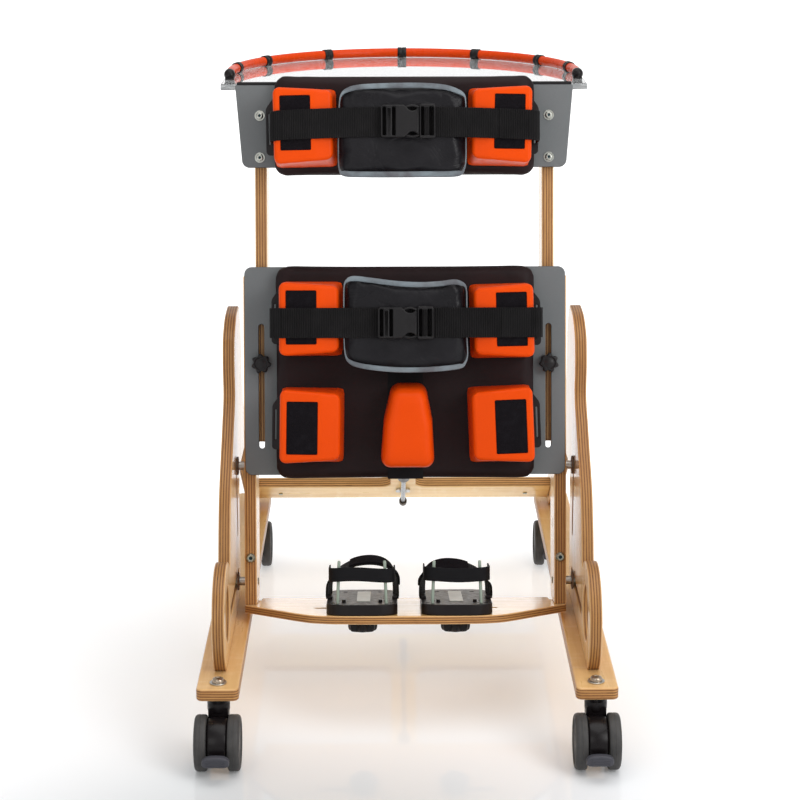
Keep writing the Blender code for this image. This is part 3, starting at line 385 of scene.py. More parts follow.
GRAIN_S = UP
M_SIDE = {s: ply("ply_side_" + s, (1, 0, 0), (x, 0, 0), PLY, (0, 0.35, 0.94)) for s, x in (("left", -SIDE_X), ("right", SIDE_X))}
M_RUNNER = ply("ply_runner", (0, 0, 1), (0, 0, 0.109), PLY, (0, 1, 0), 9, 0.98, 0.15, 1.28)
M_LOW = {s: ply("ply_lower_post_" + s, (1, 0, 0), (x, 0, 0), PLY, UP, 9, 1.16) for s, x in (("left", -0.2343), ("right", 0.2343))}
M_UPP = {s: ply("ply_upper_post_" + s, (1, 0, 0), (x, 0, 0), PLY, UP, 9, (1.13, 1.20, 1.34)) for s, x in (("left", -0.2157), ("right", 0.2157))}
M_FOOT = ply("ply_footplate", UP, at(0, sum(FOOT_S) / 2, 0), 0.012, (1, 0, 0), 7, 1.14, 0.7)
SLOPE = Vector((0, -0.256, 0.165)).normalized()
SLOPE_N = Vector((1, 0, 0)).cross(SLOPE)
SLOPE_THICK = -SLOPE_N if SLOPE_N.z < 0 else SLOPE_N
CROSS_C = Vector((0, 0.864 - Y_MID, 0.128)) + SLOPE_THICK * PLY / 2
M_CROSS = ply("ply_cross", SLOPE_THICK, CROSS_C, PLY, (1, 0, 0), 9, (1.27, 1.44, 1.54), 0.2, 1.40)
M_GREY = speckled("panel_laminate", (0.144, 0.154, 0.158), (0.104, 0.112, 0.116), 0.50, 1500.0, 0.10, edge=(0.030, 0.027, 0.026), edge_axis=OUT)
M_PAD = cloth_cover("pad_vinyl", (0.0115, 0.0052, 0.0057), (0.5, 0.42, 0.42), 0.55, 0.0, wrinkle=0.5, spec=0.14)
M_STRIP = cloth_cover("pad_strip", (0.0045, 0.0043, 0.0052), (0.4, 0.45, 0.5), 0.60, 0.0, wrinkle=0.4, spec=0.12)
M_BELLY = cloth_cover("belly_vinyl", (0.0070, 0.0064, 0.0080), (0.55, 0.6, 0.7), 0.34, 0.0, wrinkle=1.9, spec=0.16)
M_ORANGE = speckled("orange_foam_skin", (0.710, 0.062, 0.0018), (0.600, 0.046, 0.0013), 0.36, 900.0, 0.09, spec=0.08, spread=0.25)
M_TUBE = speckled("orange_tube_skin", (0.660, 0.050, 0.0016), (0.560, 0.039, 0.0012), 0.24, 600.0, 0.03, spec=0.14, spread=0.2)
M_BLACK = speckled("black_moulded", (0.0066, 0.0058, 0.0064), (0.0115, 0.0105, 0.0115), 0.40, 1300.0, 0.08, spec=0.24)
M_GLOSS = speckled("black_gloss", (0.0062, 0.0045, 0.0050), (0.0090, 0.0070, 0.0078), 0.30, 500.0, 0.03, spec=0.22)
M_SANDAL = speckled("sandal_plate", (0.0068, 0.0046, 0.0050), (0.0108, 0.0080, 0.0086), 0.34, 1100.0, 0.10, spec=0.22)
M_BRAKE = speckled("brake_pedal_grey", (0.058, 0.058, 0.070), (0.040, 0.040, 0.050), 0.45, 1200.0, 0.08, spec=0.3)
M_WEB_X = webbing("webbing_across", UP, (1, 0, 0))
M_WEB_FOOT = webbing("webbing_foot", OUT, (1, 0, 0))
M_HOOK = hook_fabric("hook_tape")
M_STEEL = steel("zinc_plate")
M_STEEL_DARK = steel("zinc_dull", (0.40, 0.41, 0.34), 0.34)
M_SCREW = steel("screw_zinc", (0.47, 0.48, 0.44), 0.32)
M_DARK_STEEL = steel("clevis_dark", (0.14, 0.12, 0.10), 0.38)
M_BRASS = steel("brass_tip", (0.72, 0.55, 0.22), 0.26)
M_NUT = steel("nut_bronze", (0.46, 0.37, 0.28), 0.30)
M_FIBRE = speckled("fibre_washer", (0.230, 0.140, 0.085), (0.160, 0.095, 0.058), 0.55, 700.0, 0.10, spec=0.3)
M_SPACER = steel("spacer_steel", (0.56, 0.54, 0.50), 0.38)
M_CHROME = steel("chrome_plate", (0.27, 0.29, 0.31), 0.24)
M_CLEAR = acrylic("clear_sheet")
M_SHEET_EDGE = sheet_edge("clear_sheet_edge")
M_SATIN = satin("satin_binding")
M_TYRE = tyre("castor_rubber")
M_ROD = speckled("green_grey_rod", (0.300, 0.360, 0.300), (0.235, 0.290, 0.240), 0.36, 800.0, 0.05, Coat_Weight=0.3, Coat_Roughness=0.15)
M_PALE = speckled("pale_square", (0.420, 0.430, 0.380), (0.500, 0.510, 0.470), 0.40, 700.0, 0.05, Coat_Weight=0.3, Coat_Roughness=0.2)
# painted shade: the dark colour of the screws' hex sockets
M_SOCKET_SHADE = speckled("socket_painted_shade", (0.010, 0.045, 0.060), (0.018, 0.060, 0.075), 0.45, 1500.0, 0.05)


# ---------------------------------------------------------------- geometry helpers
def link(mesh, name, angle=38.0, smooth=True):
    obj = bpy.data.objects.new(name, mesh)
    bpy.context.scene.collection.objects.link(obj)
    if smooth:
        mesh.shade_smooth()
        mesh.set_sharp_from_angle(angle=math.radians(angle))
    return obj


def from_bmesh(bm, name, angle=38.0, recalc=True):
    if recalc:
        bm.normal_update()
        bmesh.ops.recalc_face_normals(bm, faces=bm.faces)
    mesh = bpy.data.meshes.new(name)
    bm.to_mesh(mesh)
    bm.free()
    return link(mesh, name, angle)


def made_real(obj):
    bpy.context.view_layer.update()
    graph = bpy.context.evaluated_depsgraph_get()
    mesh = bpy.data.meshes.new_from_object(obj.evaluated_get(graph))
    obj.modifiers.clear()
    if obj.type == "MESH":
        obj.data = mesh
        return obj
    return mesh


def piece(obj, body, mat, replaces=()):
    obj.data.materials.clear()
    obj.data.materials.append(mat)
    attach(obj, body)
    if replaces:
        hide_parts(*([replaces] if isinstance(replaces, str) else replaces))
    return obj


def even_normals(obj):
    mod = obj.modifiers.new("even", "WEIGHTED_NORMAL")
    mod.mode = "FACE_AREA"
    mod.weight = 60
    mod.keep_sharp = True
    return obj


def plate(name, loops, depth, matrix, r=0.0, seg=3, angle=46.0):
    """A flat outline (first loop) with holes, extruded about its plane, with every rim rounded by r."""
    curve = bpy.data.curves.new(name + "_outline", "CURVE")
    curve.dimensions = "2D"
    curve.fill_mode = "BOTH"
    curve.extrude = depth / 2 - r
    if r > 0:
        curve.bevel_depth = r
        curve.bevel_resolution = seg - 1
        curve.offset = -r
    for loop in loops:
        spline = curve.splines.new("POLY")
        spline.points.add(len(loop) - 1)
        for point, xy in zip(spline.points, loop):
            point.co = (xy[0], xy[1], 0, 1)
        spline.use_cyclic_u = True
    flat = bpy.data.objects.new(name + "_flat", curve)
    bpy.context.scene.collection.objects.link(flat)
    mesh = made_real(flat)
    bpy.data.objects.remove(flat, do_unlink=True)
    bm = bmesh.new()
    bm.from_mesh(mesh)
    bpy.data.meshes.remove(mesh)
    bmesh.ops.remove_doubles(bm, verts=bm.verts, dist=2e-6)
    bm.transform(matrix)
    return even_normals(from_bmesh(bm, name, angle))


def lathe(name, profile, matrix, steps=48, angle=32.0):
    """(radius, height) pairs turned about the local z axis."""
    bm = bmesh.new()
    rings = []
    for r, h in profile:
        if r < 1e-7:
            rings.append([bm.verts.new((0, 0, h))])
        else:
            rings.append([bm.verts.new((r * math.cos(2 * math.pi * i / steps), r * math.sin(2 * math.pi * i / steps), h)) for i in range(steps)])
    for a, b in zip(rings, rings[1:]):
        for i in range(steps):
            j = (i + 1) % steps
            if len(a) == 1 and len(b) == 1:
                break
            if len(a) == 1:
                bm.faces.new((a[0], b[i], b[j]))
            elif len(b) == 1:
                bm.faces.new((a[i], a[j], b[0]))
            else:
                bm.faces.new((a[i], a[j], b[j], b[i]))
    for ring, flip in ((rings[0], True), (rings[-1], False)):
        if len(ring) > 1:
            bm.faces.new(ring[::-1] if flip else ring)
    bm.transform(matrix)
    return from_bmesh(bm, name, angle)


def loft(name, rings, cap_start=True, cap_end=True, closed=False, angle=38.0, wrap=True):
    """Skins rings of points that all have the same count."""
    bm = bmesh.new()
    made = [[bm.verts.new(p) for p in ring] for ring in rings]
    pairs = list(zip(made, made[1:])) + ([(made[-1], made[0])] if closed else [])
    count = len(made[0])
    for a, b in pairs:
        for i in range(count if wrap else count - 1):
            j = (i + 1) % count
            bm.faces.new((a[i], a[j], b[j], b[i]))
    if not closed:
        if cap_start:
            bm.faces.new(made[0][::-1])
        if cap_end:
            bm.faces.new(made[-1])
    return from_bmesh(bm, name, angle)


def ribbon(name, path, across, width, thick, rib=0.0, pitch=0.0025, angle=60.0, selvedge=0.0012, taper=None):
    """A flat band along a path: across is its width direction, or one for each point, and its ribs run across it."""
    turning = [Vector(v).normalized() for v in across] if isinstance(across, list) else None
    across = turning[0] if turning else Vector(across).normalized()
    points = [Vector(p) for p in path]
    if rib > 0:
        fine = [points[0]]
        for a, b in zip(points, points[1:]):
            steps = max(1, int(math.ceil((b - a).length / (pitch / 4))))
            fine += [a.lerp(b, k / steps) for k in range(1, steps + 1)]
        points = fine
    run, rings = 0.0, []
    half, h = width / 2, thick / 2
    e = min(selvedge, half * 0.5)
    for i, p in enumerate(points):
        if i:
            run += (p - points[i - 1]).length
        ahead = points[min(i + 1, len(points) - 1)] - points[max(i - 1, 0)]
        if turning:
            across = turning[i]
        normal = ahead.cross(across).normalized()
        scale = 1.0 if taper is None else taper(i / (len(points) - 1))
        wave = rib * (0.5 + 0.5 * math.cos(2 * math.pi * run / pitch)) if rib > 0 else 0.0
        outline = [(-half, 0.35 * h), (-half + 0.4 * e, 0.9 * h), (-half + e, h), (-half + 2.2 * e, h - wave), (0.0, h - wave), (half - 2.2 * e, h - wave), (half - e, h),
                   (half - 0.4 * e, 0.9 * h), (half, 0.35 * h), (half, -0.35 * h), (half - 0.4 * e, -0.9 * h), (half - e, -h), (half - 2.2 * e, -h + wave), (0.0, -h + wave),
                   (-half + 2.2 * e, -h + wave), (-half + e, -h), (-half + 0.4 * e, -0.9 * h), (-half, -0.35 * h)]
        rings.append([p + across * (w * scale) + normal * t for w, t in outline])
    return loft(name, rings, angle=angle)


def tube(name, path, radius, sides=12, closed=False, flat=1.0, up=(0, 0, 1), angle=60.0, radii=None):
    """A round (or flattened) tube along a path of points."""
    points = [Vector(p) for p in path]
    rings = []
    count = len(points)
    ref = Vector(up)
    for i, p in enumerate(points):
        a = points[(i - 1) % count] if closed else points[max(i - 1, 0)]
        b = points[(i + 1) % count] if closed else points[min(i + 1, count - 1)]
        tangent = (b - a).normalized()
        side = tangent.cross(ref)
        side = side.normalized() if side.length > 1e-6 else tangent.orthogonal().normalized()
        top = side.cross(tangent).normalized()
        r = radius if radii is None else radii[i]
        rings.append([p + side * (r * math.cos(2 * math.pi * k / sides)) + top * (r * flat * math.sin(2 * math.pi * k / sides)) for k in range(sides)])
    return loft(name, rings, closed=closed, angle=angle)


def circle(cx, cy, r, n=32, start=0.0):
    return [(cx + r * math.cos(start + 2 * math.pi * i / n), cy + r * math.sin(start + 2 * math.pi * i / n)) for i in range(n)]


def slot(x0, y0, x1, y1, r, n=10):
    a = math.atan2(y1 - y0, x1 - x0)
    first = [(x1 + r * math.cos(a - math.pi / 2 + math.pi * i / n), y1 + r * math.sin(a - math.pi / 2 + math.pi * i / n)) for i in range(n + 1)]
    second = [(x0 + r * math.cos(a + math.pi / 2 + math.pi * i / n), y0 + r * math.sin(a + math.pi / 2 + math.pi * i / n)) for i in range(n + 1)]
    return first + second


def filleted(points, n=6):
    out, count = [], len(points)
    for i in range(count):
        x, y, r = points[i]
        p = Vector((x, y))
        a = Vector(points[i - 1][:2]) - p
        b = Vector(points[(i + 1) % count][:2]) - p
        if r <= 0:
            out.append((x, y))
            continue
        ua, ub = a.normalized(), b.normalized()
        half = ua.angle(ub) / 2
        reach = min(r / math.tan(half), a.length * 0.499, b.length * 0.499)
        radius = reach * math.tan(half)
        centre = p + (ua + ub).normalized() * (radius / math.sin(half))
        start = p + ua * reach - centre
        turn = start.angle_signed(p + ub * reach - centre)
        for k in range(n + 1):
            v = start.copy()
            v.rotate(Matrix.Rotation(-turn * k / n, 2))
            out.append(tuple(centre + v))
    return out


def rounded_rect(x0, y0, x1, y1, r, n=6):
    return filleted([(x0, y0, r), (x1, y0, r), (x1, y1, r), (x0, y1, r)], n)


def smooth_run(points, per=4, closed=False):
    pts = [Vector(p) for p in points]
    ext = [pts[-1]] + pts + [pts[0], pts[1]] if closed else [2 * pts[0] - pts[1]] + pts + [2 * pts[-1] - pts[-2]]
    out = []
    for i in range(1, len(ext) - 2):
        p0, p1, p2, p3 = ext[i - 1 : i + 3]
        for k in range(per):
            t = k / per
            out.append(tuple(0.5 * ((2 * p1) + (p2 - p0) * t + (2 * p0 - 5 * p1 + 4 * p2 - p3) * t * t + (3 * p1 - p0 - 3 * p2 + p3) * t ** 3)))
    if not closed:
        out.append(tuple(pts[-1]))
    return out


def resampled(points, step, closed=True):
    """Evenly spaced points round a closed 2D outline."""
    pts = [Vector(p) for p in points] + ([Vector(points[0])] if closed else [])
    lengths = [(b - a).length for a, b in zip(pts, pts[1:])]
    total = sum(lengths)
    count = max(8, int(round(total / step)))
    out, i, done = [], 0, 0.0
    for k in range(count if closed else count + 1):
        want = total * k / count
        while i < len(lengths) - 1 and done + lengths[i] < want:
            done += lengths[i]
            i += 1
        out.append(pts[i].lerp(pts[i + 1], min(1.0, (want - done) / max(lengths[i], 1e-9))))
    return out


def inset_loop(points, by):
    """Moves a counter-clockwise outline inwards along its corner normals."""
    count, out = len(points), []
    for i in range(count):
        a, p, b = Vector(points[i - 1]), Vector(points[i]), Vector(points[(i + 1) % count])
        ta, tb = (p - a).normalized(), (b - p).normalized()
        na, nb = Vector((-ta.y, ta.x)), Vector((-tb.y, tb.x))
        mid = (na + nb)
        mid = mid.normalized() if mid.length > 1e-6 else na
        out.append(p + mid * (by / max(0.35, mid.dot(na))))
    return out


def socket_screw(name, centre, direction, body, head_r=0.006, head_h=0.0032, washer_r=0.0, mat=None, lobes=6):
    """A button-head socket screw, with a washer if wanted."""
    mat = mat or M_STEEL
    z = Vector(direction).normalized()
    x = z.orthogonal().normalized()
    m = basis(x, z.cross(x), z, centre)
    rim = 0.0
    if washer_r > 0:
        rim = 0.0012
        w = lathe(name + "_washer", [(head_r * 0.5, 0.0), (washer_r - 0.0003, 0.0), (washer_r, 0.0003), (washer_r, 0.0009), (washer_r - 0.0003, rim), (head_r * 0.5, rim), (head_r * 0.5, 0.0)], m, 40)
        piece(w, body, mat)
    hex_r = head_r * 0.42
    profile = [(0.0, rim - 0.0004), (head_r, rim - 0.0004), (head_r, rim + 0.0006), (head_r * 0.97, rim + head_h * 0.45), (head_r * 0.86, rim + head_h * 0.78), (head_r * 0.68, rim + head_h), (hex_r * 1.22, rim + head_h)]
    bm = bmesh.new()
    steps = 36
    rings = []
    for r, h in profile:
        rings.append([bm.verts.new((0, 0, h))] if r == 0 else [bm.verts.new((r * math.cos(2 * math.pi * i / steps), r * math.sin(2 * math.pi * i / steps), h)) for i in range(steps)])

    def hexagon(h, scale=1.0):
        ring = []
        for i in range(steps):
            a = 2 * math.pi * i / steps
            k = math.cos(math.pi / lobes) / math.cos((a % (2 * math.pi / lobes)) - math.pi / lobes)
            ring.append(bm.verts.new((hex_r * scale * k * math.cos(a), hex_r * scale * k * math.sin(a), h)))
        return ring

    rings.append(hexagon(rim + head_h - 0.0001))
    rings.append(hexagon(rim + head_h * 0.30, 0.97))
    for a, b in zip(rings, rings[1:]):
        for i in range(steps):
            j = (i + 1) % steps
            if len(a) == 1:
                bm.faces.new((a[0], b[i], b[j]))
            else:
                bm.faces.new((a[i], a[j], b[j], b[i]))
    floor_face = bm.faces.new(rings[-1])
    bm.transform(m)
    obj = from_bmesh(bm, name, 32.0)
    piece(obj, body, mat)
    # the hex socket's walls and floor take a dark colour: painted shade in the recess
    obj.data.materials.append(M_SOCKET_SHADE)
    low = rim + head_h * 0.5
    inverse = m.inverted()
    for poly in obj.data.polygons:
        local = inverse @ poly.center
        if local.xy.length < hex_r * 1.02 and local.z < rim + head_h - 0.00005:
            poly.material_index = 1
    return obj


# ---------------------------------------------------------------- plywood boards
def board(name, node, loops, depth, matrix, mat, body, r=0.0024):
    return piece(plate(name, loops, depth, matrix, r, 3), body, mat, node)


DISC = Vector((0.123, 0.181))
DISC_R = 0.080
FOOT_Z = 0.118 + 0.0003


def side_outline():
    start = math.atan2(0.233 - DISC.y, 0.184 - DISC.x)
    end = math.pi + math.asin((DISC.y - FOOT_Z) / DISC_R)
    arc = [(DISC.x + DISC_R * math.cos(start + (end - start) * i / 48), DISC.y + DISC_R * math.sin(start + (end - start) * i / 48)) for i in range(49)]
    near = smooth_run([(0.4625, 0.5616), (0.430, 0.5595), (0.404, 0.5527), (0.376, 0.5375), (0.365, 0.518), (0.359, 0.490), (0.3605, 0.455),
                       (0.3485, 0.435), (0.328, 0.419), (0.291, 0.386), (0.252, 0.354), (0.226, 0.326), (0.203, 0.284)], 5)
    far = filleted([(0.410, FOOT_Z, 0.0), (0.410, 0.315, 0.050), (0.545, 0.315, 0.060), (0.851, FOOT_Z, 0.0), (0.888, FOOT_Z, 0.0), (0.888, 0.1607, 0.014),
                    (0.560, 0.3721, 0.070), (0.522, 0.430, 0.060), (0.522, 0.520, 0.040), (0.490, 0.562, 0.040), (0.4700, 0.5616, 0.0)], 9)
    return arc + far + near


for side, sign in (("left", -1), ("right", 1)):
    x = sign * SIDE_X
    board("side_board_" + side, "side_frame_" + side,
          [side_outline(), circle(0.121, 0.1875, 0.041, 56), slot(GUIDE_Y, 0.2340, GUIDE_Y, GUIDE_Z + PIN_DIST + 0.0015, 0.0077), slot(0.1890, GUIDE_Z, GUIDE_Y + 0.0005, GUIDE_Z, 0.0077)],
          PLY, YZ(x), M_SIDE[side], "base")
    board("runner_board_" + side, "runner_" + side,
          [rounded_rect(x - 0.030, 0.004 - Y_MID, x + 0.030, 0.930 - Y_MID, 0.009), circle(x, 0.029 - Y_MID, 0.0058, 24), circle(x, 0.903 - Y_MID, 0.0058, 24)],
          PLY, Matrix.Translation((0, 0, 0.109)), M_RUNNER, "base", 0.0030)
    post = filleted([(-0.2081, 0.0400, 0.0), (-0.2081, -0.0400, 0.022), (0.290, -0.0400, 0.020), (0.290, 0.0400, 0.004)], 8)
    board("lower_post_board_" + side, "lower_post_" + side,
          [post, circle(0, 0, 0.0045, 20), circle(-PIN_DIST, 0, 0.0045, 20), circle(-PIN_DIST / 2, 0, 0.0054, 20)], PLY, ST(sign * 0.2343), M_LOW[side], "tilt_frame")
    rel = Vector((0, 0.4785 - Y_MID, 0.861)) - PIN_U
    pivot_s, pivot_t = rel.dot(UP), rel.dot(OUT)
    s_front = (0.884 - PIN_U.z - 0.0375 * math.sin(TILT_0)) / math.cos(TILT_0)
    s_back = (0.884 - PIN_U.z + 0.0375 * math.sin(TILT_0)) / math.cos(TILT_0)
    board("upper_post_board_" + side, "upper_post_" + side,
          [filleted([(0.039, 0.0375, 0.003), (0.039, -0.0375, 0.003), (s_back, -0.0375, 0.006), (s_front, 0.0375, 0.004)], 5), circle(pivot_s, pivot_t, 0.0044, 20)],
          PLY, ST(sign * 0.2157), M_UPP[side], "chest_frame")

half_w = SIDE_X - PLY / 2 - 0.0003
cross = [(-half_w, 0, 0.0), (half_w, 0, 0.0), (half_w, 0.071, 0.0), (0.022, 0.071, 0.019), (0.022, 0.244, 0.019), (0.078, 0.244, 0.010), (0.078, 0.292, 0.014),
         (-0.078, 0.292, 0.014), (-0.078, 0.244, 0.010), (-0.022, 0.244, 0.019), (-0.022, 0.071, 0.019), (-half_w, 0.071, 0.0)]
board("cross_panel_board", "rear_cross_panel", [filleted(cross, 8)], PLY, basis((1, 0, 0), SLOPE, SLOPE_N, CROSS_C), M_CROSS, "base", 0.0026)
foot = filleted([(-0.2433, -0.015, 0.0), (-0.222, -0.015, 0.0), (-0.222, -0.040, 0.006), (0.222, -0.040, 0.006), (0.222, -0.015, 0.0), (0.2433, -0.015, 0.0), (0.2433, 0.042, 0.004), (0.163, 0.1335, 0.060), (0.140, 0.1560, 0.050), (0.108, 0.1670, 0.060),
                 (0.055, 0.1700, 0.2), (-0.055, 0.1700, 0.2), (-0.108, 0.1670, 0.060), (-0.140, 0.1560, 0.050), (-0.163, 0.1335, 0.060), (-0.2433, 0.042, 0.004)], 5)
board("footplate_board", "footplate", [foot, slot(-0.132, 0.078, -0.062, 0.078, 0.0042), slot(0.062, 0.078, 0.132, 0.078, 0.0042)], 0.012, XT(sum(FOOT_S) / 2), M_FOOT, "tilt_frame", 0.0020)

# dark screw recesses in the cross panel's lower rail, seen from behind
for i, (x, v) in enumerate(((-0.2150, 0.030), (0.2150, 0.030))):
    c = Vector((0, 0.864 - Y_MID, 0.128)) + SLOPE * v + Vector((x, 0, 0)) - SLOPE_THICK * 0.00012
    cap = lathe("rail_screw_%d" % i, [(0.0, 0.0), (0.0032, 0.0), (0.0036, -0.0006), (0.0036, -0.0016), (0.0, -0.0016)], basis((1, 0, 0), SLOPE_THICK.cross(Vector((1, 0, 0))), SLOPE_THICK, c), 20)
    piece(cap, "base", M_STEEL_DARK)

# ---------------------------------------------------------------- grey panels
pelvic = [rounded_rect(-0.2410, -0.0105, 0.2410, 0.3025, 0.011, 8), slot(-SLOT_X, 0.0335, -SLOT_X, 0.2125, 0.0042), slot(SLOT_X, 0.0335, SLOT_X, 0.2125, 0.0042)]
piece(plate("pelvic_board", pelvic, 0.009, XS(0.0448), 0.0011, 2), "tilt_frame", M_GREY, "pelvic_panel")
chest = filleted([(-0.2423, 0.4512, 0.011), (0.2423, 0.4512, 0.011), (0.2530, 0.5745, 0.003), (-0.2530, 0.5745, 0.003)], 8)
piece(plate("chest_board", [chest], 0.009, XS(0.0448), 0.0011, 2), "chest_frame", M_GREY, "chest_panel")
# black sealing profile along the chest panel's top edge
seal = plate("chest_top_seal", [filleted([(-0.2505, 0.0398, 0.001), (0.2505, 0.0398, 0.001), (0.2505, 0.0500, 0.001), (-0.2505, 0.0500, 0.001)], 3)], 0.0042, XT(0.5767), 0.0009, 2)
piece(seal, "chest_frame", M_BLACK)
for i, (x, s) in enumerate(((-0.2163, 0.5285), (0.2163, 0.5285), (-0.2163, 0.4660), (0.2163, 0.4660))):
    socket_screw("chest_screw_%d" % i, at(x, s, PANEL_T[1]), OUT, "chest_frame", 0.0056, 0.0026, 0.0078, M_SCREW)

# ---------------------------------------------------------------- castors
def rotated(direction, origin):
    """A frame whose z axis is the given direction."""
    z = Vector(direction).normalized()
    x = Vector((0, 0, 1)) if abs(z.z) < 0.9 else Vector((0, 1, 0))
    x = (x - z * x.dot(z)).normalized()
    return basis(x, z.cross(x), z, origin)


def castor(tag, sx, sy):
    o = Vector((sx, sy, 0))
    body = "castor_" + tag
    cy, cz = -0.029, 0.040
    # hood: a curved mudguard between the wheels, swollen forward of the neck
    arc = [(cy + 0.0360 * math.cos(math.radians(a)), cz + 0.0360 * math.sin(math.radians(a))) for a in range(66, 218, 6)]
    hood = arc + [(-0.0500, 0.0175), (-0.0290, 0.0165), (-0.0100, 0.0285), (0.0060, 0.0500), (0.0148, 0.0660), (0.0148, 0.0860), (-0.0148, 0.0860)]
    m = basis((0, 1, 0), (0, 0, 1), (1, 0, 0), o)
    rings = []
    for u in (-1.0, -0.985, -0.95, -0.88, -0.75, -0.5, -0.25, 0.0, 0.25, 0.5, 0.75, 0.88, 0.95, 0.985, 1.0):
        by = 0.0020 * u * u + 0.0017 * max(0.0, (abs(u) - 0.86) / 0.14) ** 2
        rings.append([m @ Vector((q.x, q.y, 0.0145 * u)) for q in inset_loop([Vector(h) for h in hood], by)])
    piece(loft("hood_" + tag, rings, angle=50.0), body, M_GLOSS, "castor_fork_" + tag)
    neck = [(0.0, 0.0765), (0.0140, 0.0765), (0.0154, 0.0778), (0.0160, 0.0800), (0.0161, 0.0900), (0.0157, 0.0912), (0.0157, 0.0922), (0.0161, 0.0934), (0.0161, 0.0984), (0.0152, 0.0997), (0.0, 0.0997)]
    piece(lathe("neck_" + tag, neck, Matrix.Translation(o), 48), body, M_GLOSS)
    # washer and round nut with its socket on top of the runner
    washer = [(0.0050, 0.1182), (0.0116, 0.1182), (0.0120, 0.1186), (0.0120, 0.1198), (0.0116, 0.1202), (0.0050, 0.1202), (0.0050, 0.1182)]
    piece(lathe("stem_washer_" + tag, washer, Matrix.Translation(o), 48), body, M_STEEL)
    nut = [(0.0, 0.1200), (0.0082, 0.1200), (0.0087, 0.1208), (0.0085, 0.1236), (0.0074, 0.1252), (0.0052, 0.1260), (0.0040, 0.1262), (0.0036, 0.1254), (0.0034, 0.1222), (0.0, 0.1222)]
    piece(lathe("stem_nut_" + tag, nut, Matrix.Translation(o), 48), body, M_NUT)
    # twin wheels: tread with a shallow step, dished hub and cap
    wheel_body = "wheels_" + tag
    centre = o + Vector((0, cy, cz))
    for k, sgn in enumerate((-1, 1)):
        profile = [(0.0, 0.0147), (0.0140, 0.0147), (0.0150, 0.0155), (0.0335, 0.0155), (0.0345, 0.0147), (0.0372, 0.0148), (0.0391, 0.0158), (0.0400, 0.0180), (0.0400, 0.0224), (0.03965, 0.0228),
                   (0.03965, 0.0236), (0.0400, 0.0240), (0.0399, 0.0270), (0.0394, 0.0292), (0.0380, 0.0310), (0.0358, 0.0320), (0.0336, 0.0321), (0.0322, 0.0315), (0.0316, 0.0306),
                   (0.0300, 0.0302), (0.0180, 0.0290), (0.0120, 0.0295), (0.0112, 0.0304), (0.0070, 0.0307), (0.0, 0.0307)]
        m2 = basis((0, sgn, 0), (0, 0, 1), (sgn, 0, 0), centre)
        w = lathe("wheel_%s_%s" % (tag, "lr"[k]), profile, m2, 72, 30.0)
        piece(w, wheel_body, M_TYRE, "castor_wheels_" + tag)
    axle = lathe("axle_" + tag, [(0.0, -0.0147), (0.0042, -0.0147), (0.0042, 0.0147), (0.0, 0.0147)], basis((0, 1, 0), (0, 0, 1), (1, 0, 0), centre), 24)
    piece(axle, wheel_body, M_STEEL)
    # brake pedal: an oval lip on a tongue
    rings = []
    for k, (grow, y) in enumerate(((0.80, -0.0735), (0.95, -0.0742), (1.0, -0.0760), (1.0, -0.0815), (0.95, -0.0840), (0.82, -0.0848), (0.55, -0.0851), (0.20, -0.0852))):
        ring = []
        for i in range(40):
            a = 2 * math.pi * i / 40
            cx, sz = math.cos(a), math.sin(a)
            px = 0.0193 * math.copysign(abs(cx) ** 0.55, cx) * grow
            pz = 0.0078 * math.copysign(abs(sz) ** 0.70, sz) * grow
            lift = -0.0016 * (px / 0.0193) ** 2
            ring.append(o + Vector((px, y, 0.0334 + pz + lift)))
        rings.append(ring)
    piece(loft("pedal_lip_" + tag, rings, angle=50.0), "brake_" + tag, M_BRAKE, "brake_pedal_" + tag)
    tongue = filleted([(-0.0755, 0.0245, 0.003), (-0.0672, 0.0285, 0.003), (-0.0672, 0.0372, 0.003), (-0.0755, 0.0400, 0.003)], 4)
    piece(plate("pedal_tongue_" + tag, [tongue], 0.0148, m, 0.0012, 2), "brake_" + tag, M_BLACK)
    for k, z in enumerate((0.0290, 0.0325, 0.0360)):
        path = [o + Vector((-0.0135 + 0.027 * i / 8, -0.0852 - 0.0001, z - 0.0016 * ((-0.0135 + 0.027 * i / 8) / 0.0193) ** 2)) for i in range(9)]
        piece(tube("pedal_rib_%s_%d" % (tag, k), path, 0.00055, 8), "brake_" + tag, M_BRAKE)


for end, contact in (("rear", 0.0), ("front", 0.874)):
    for side, sign in (("left", -1), ("right", 1)):
        castor(end + "_" + side, sign * SIDE_X, contact + 0.029 - Y_MID)

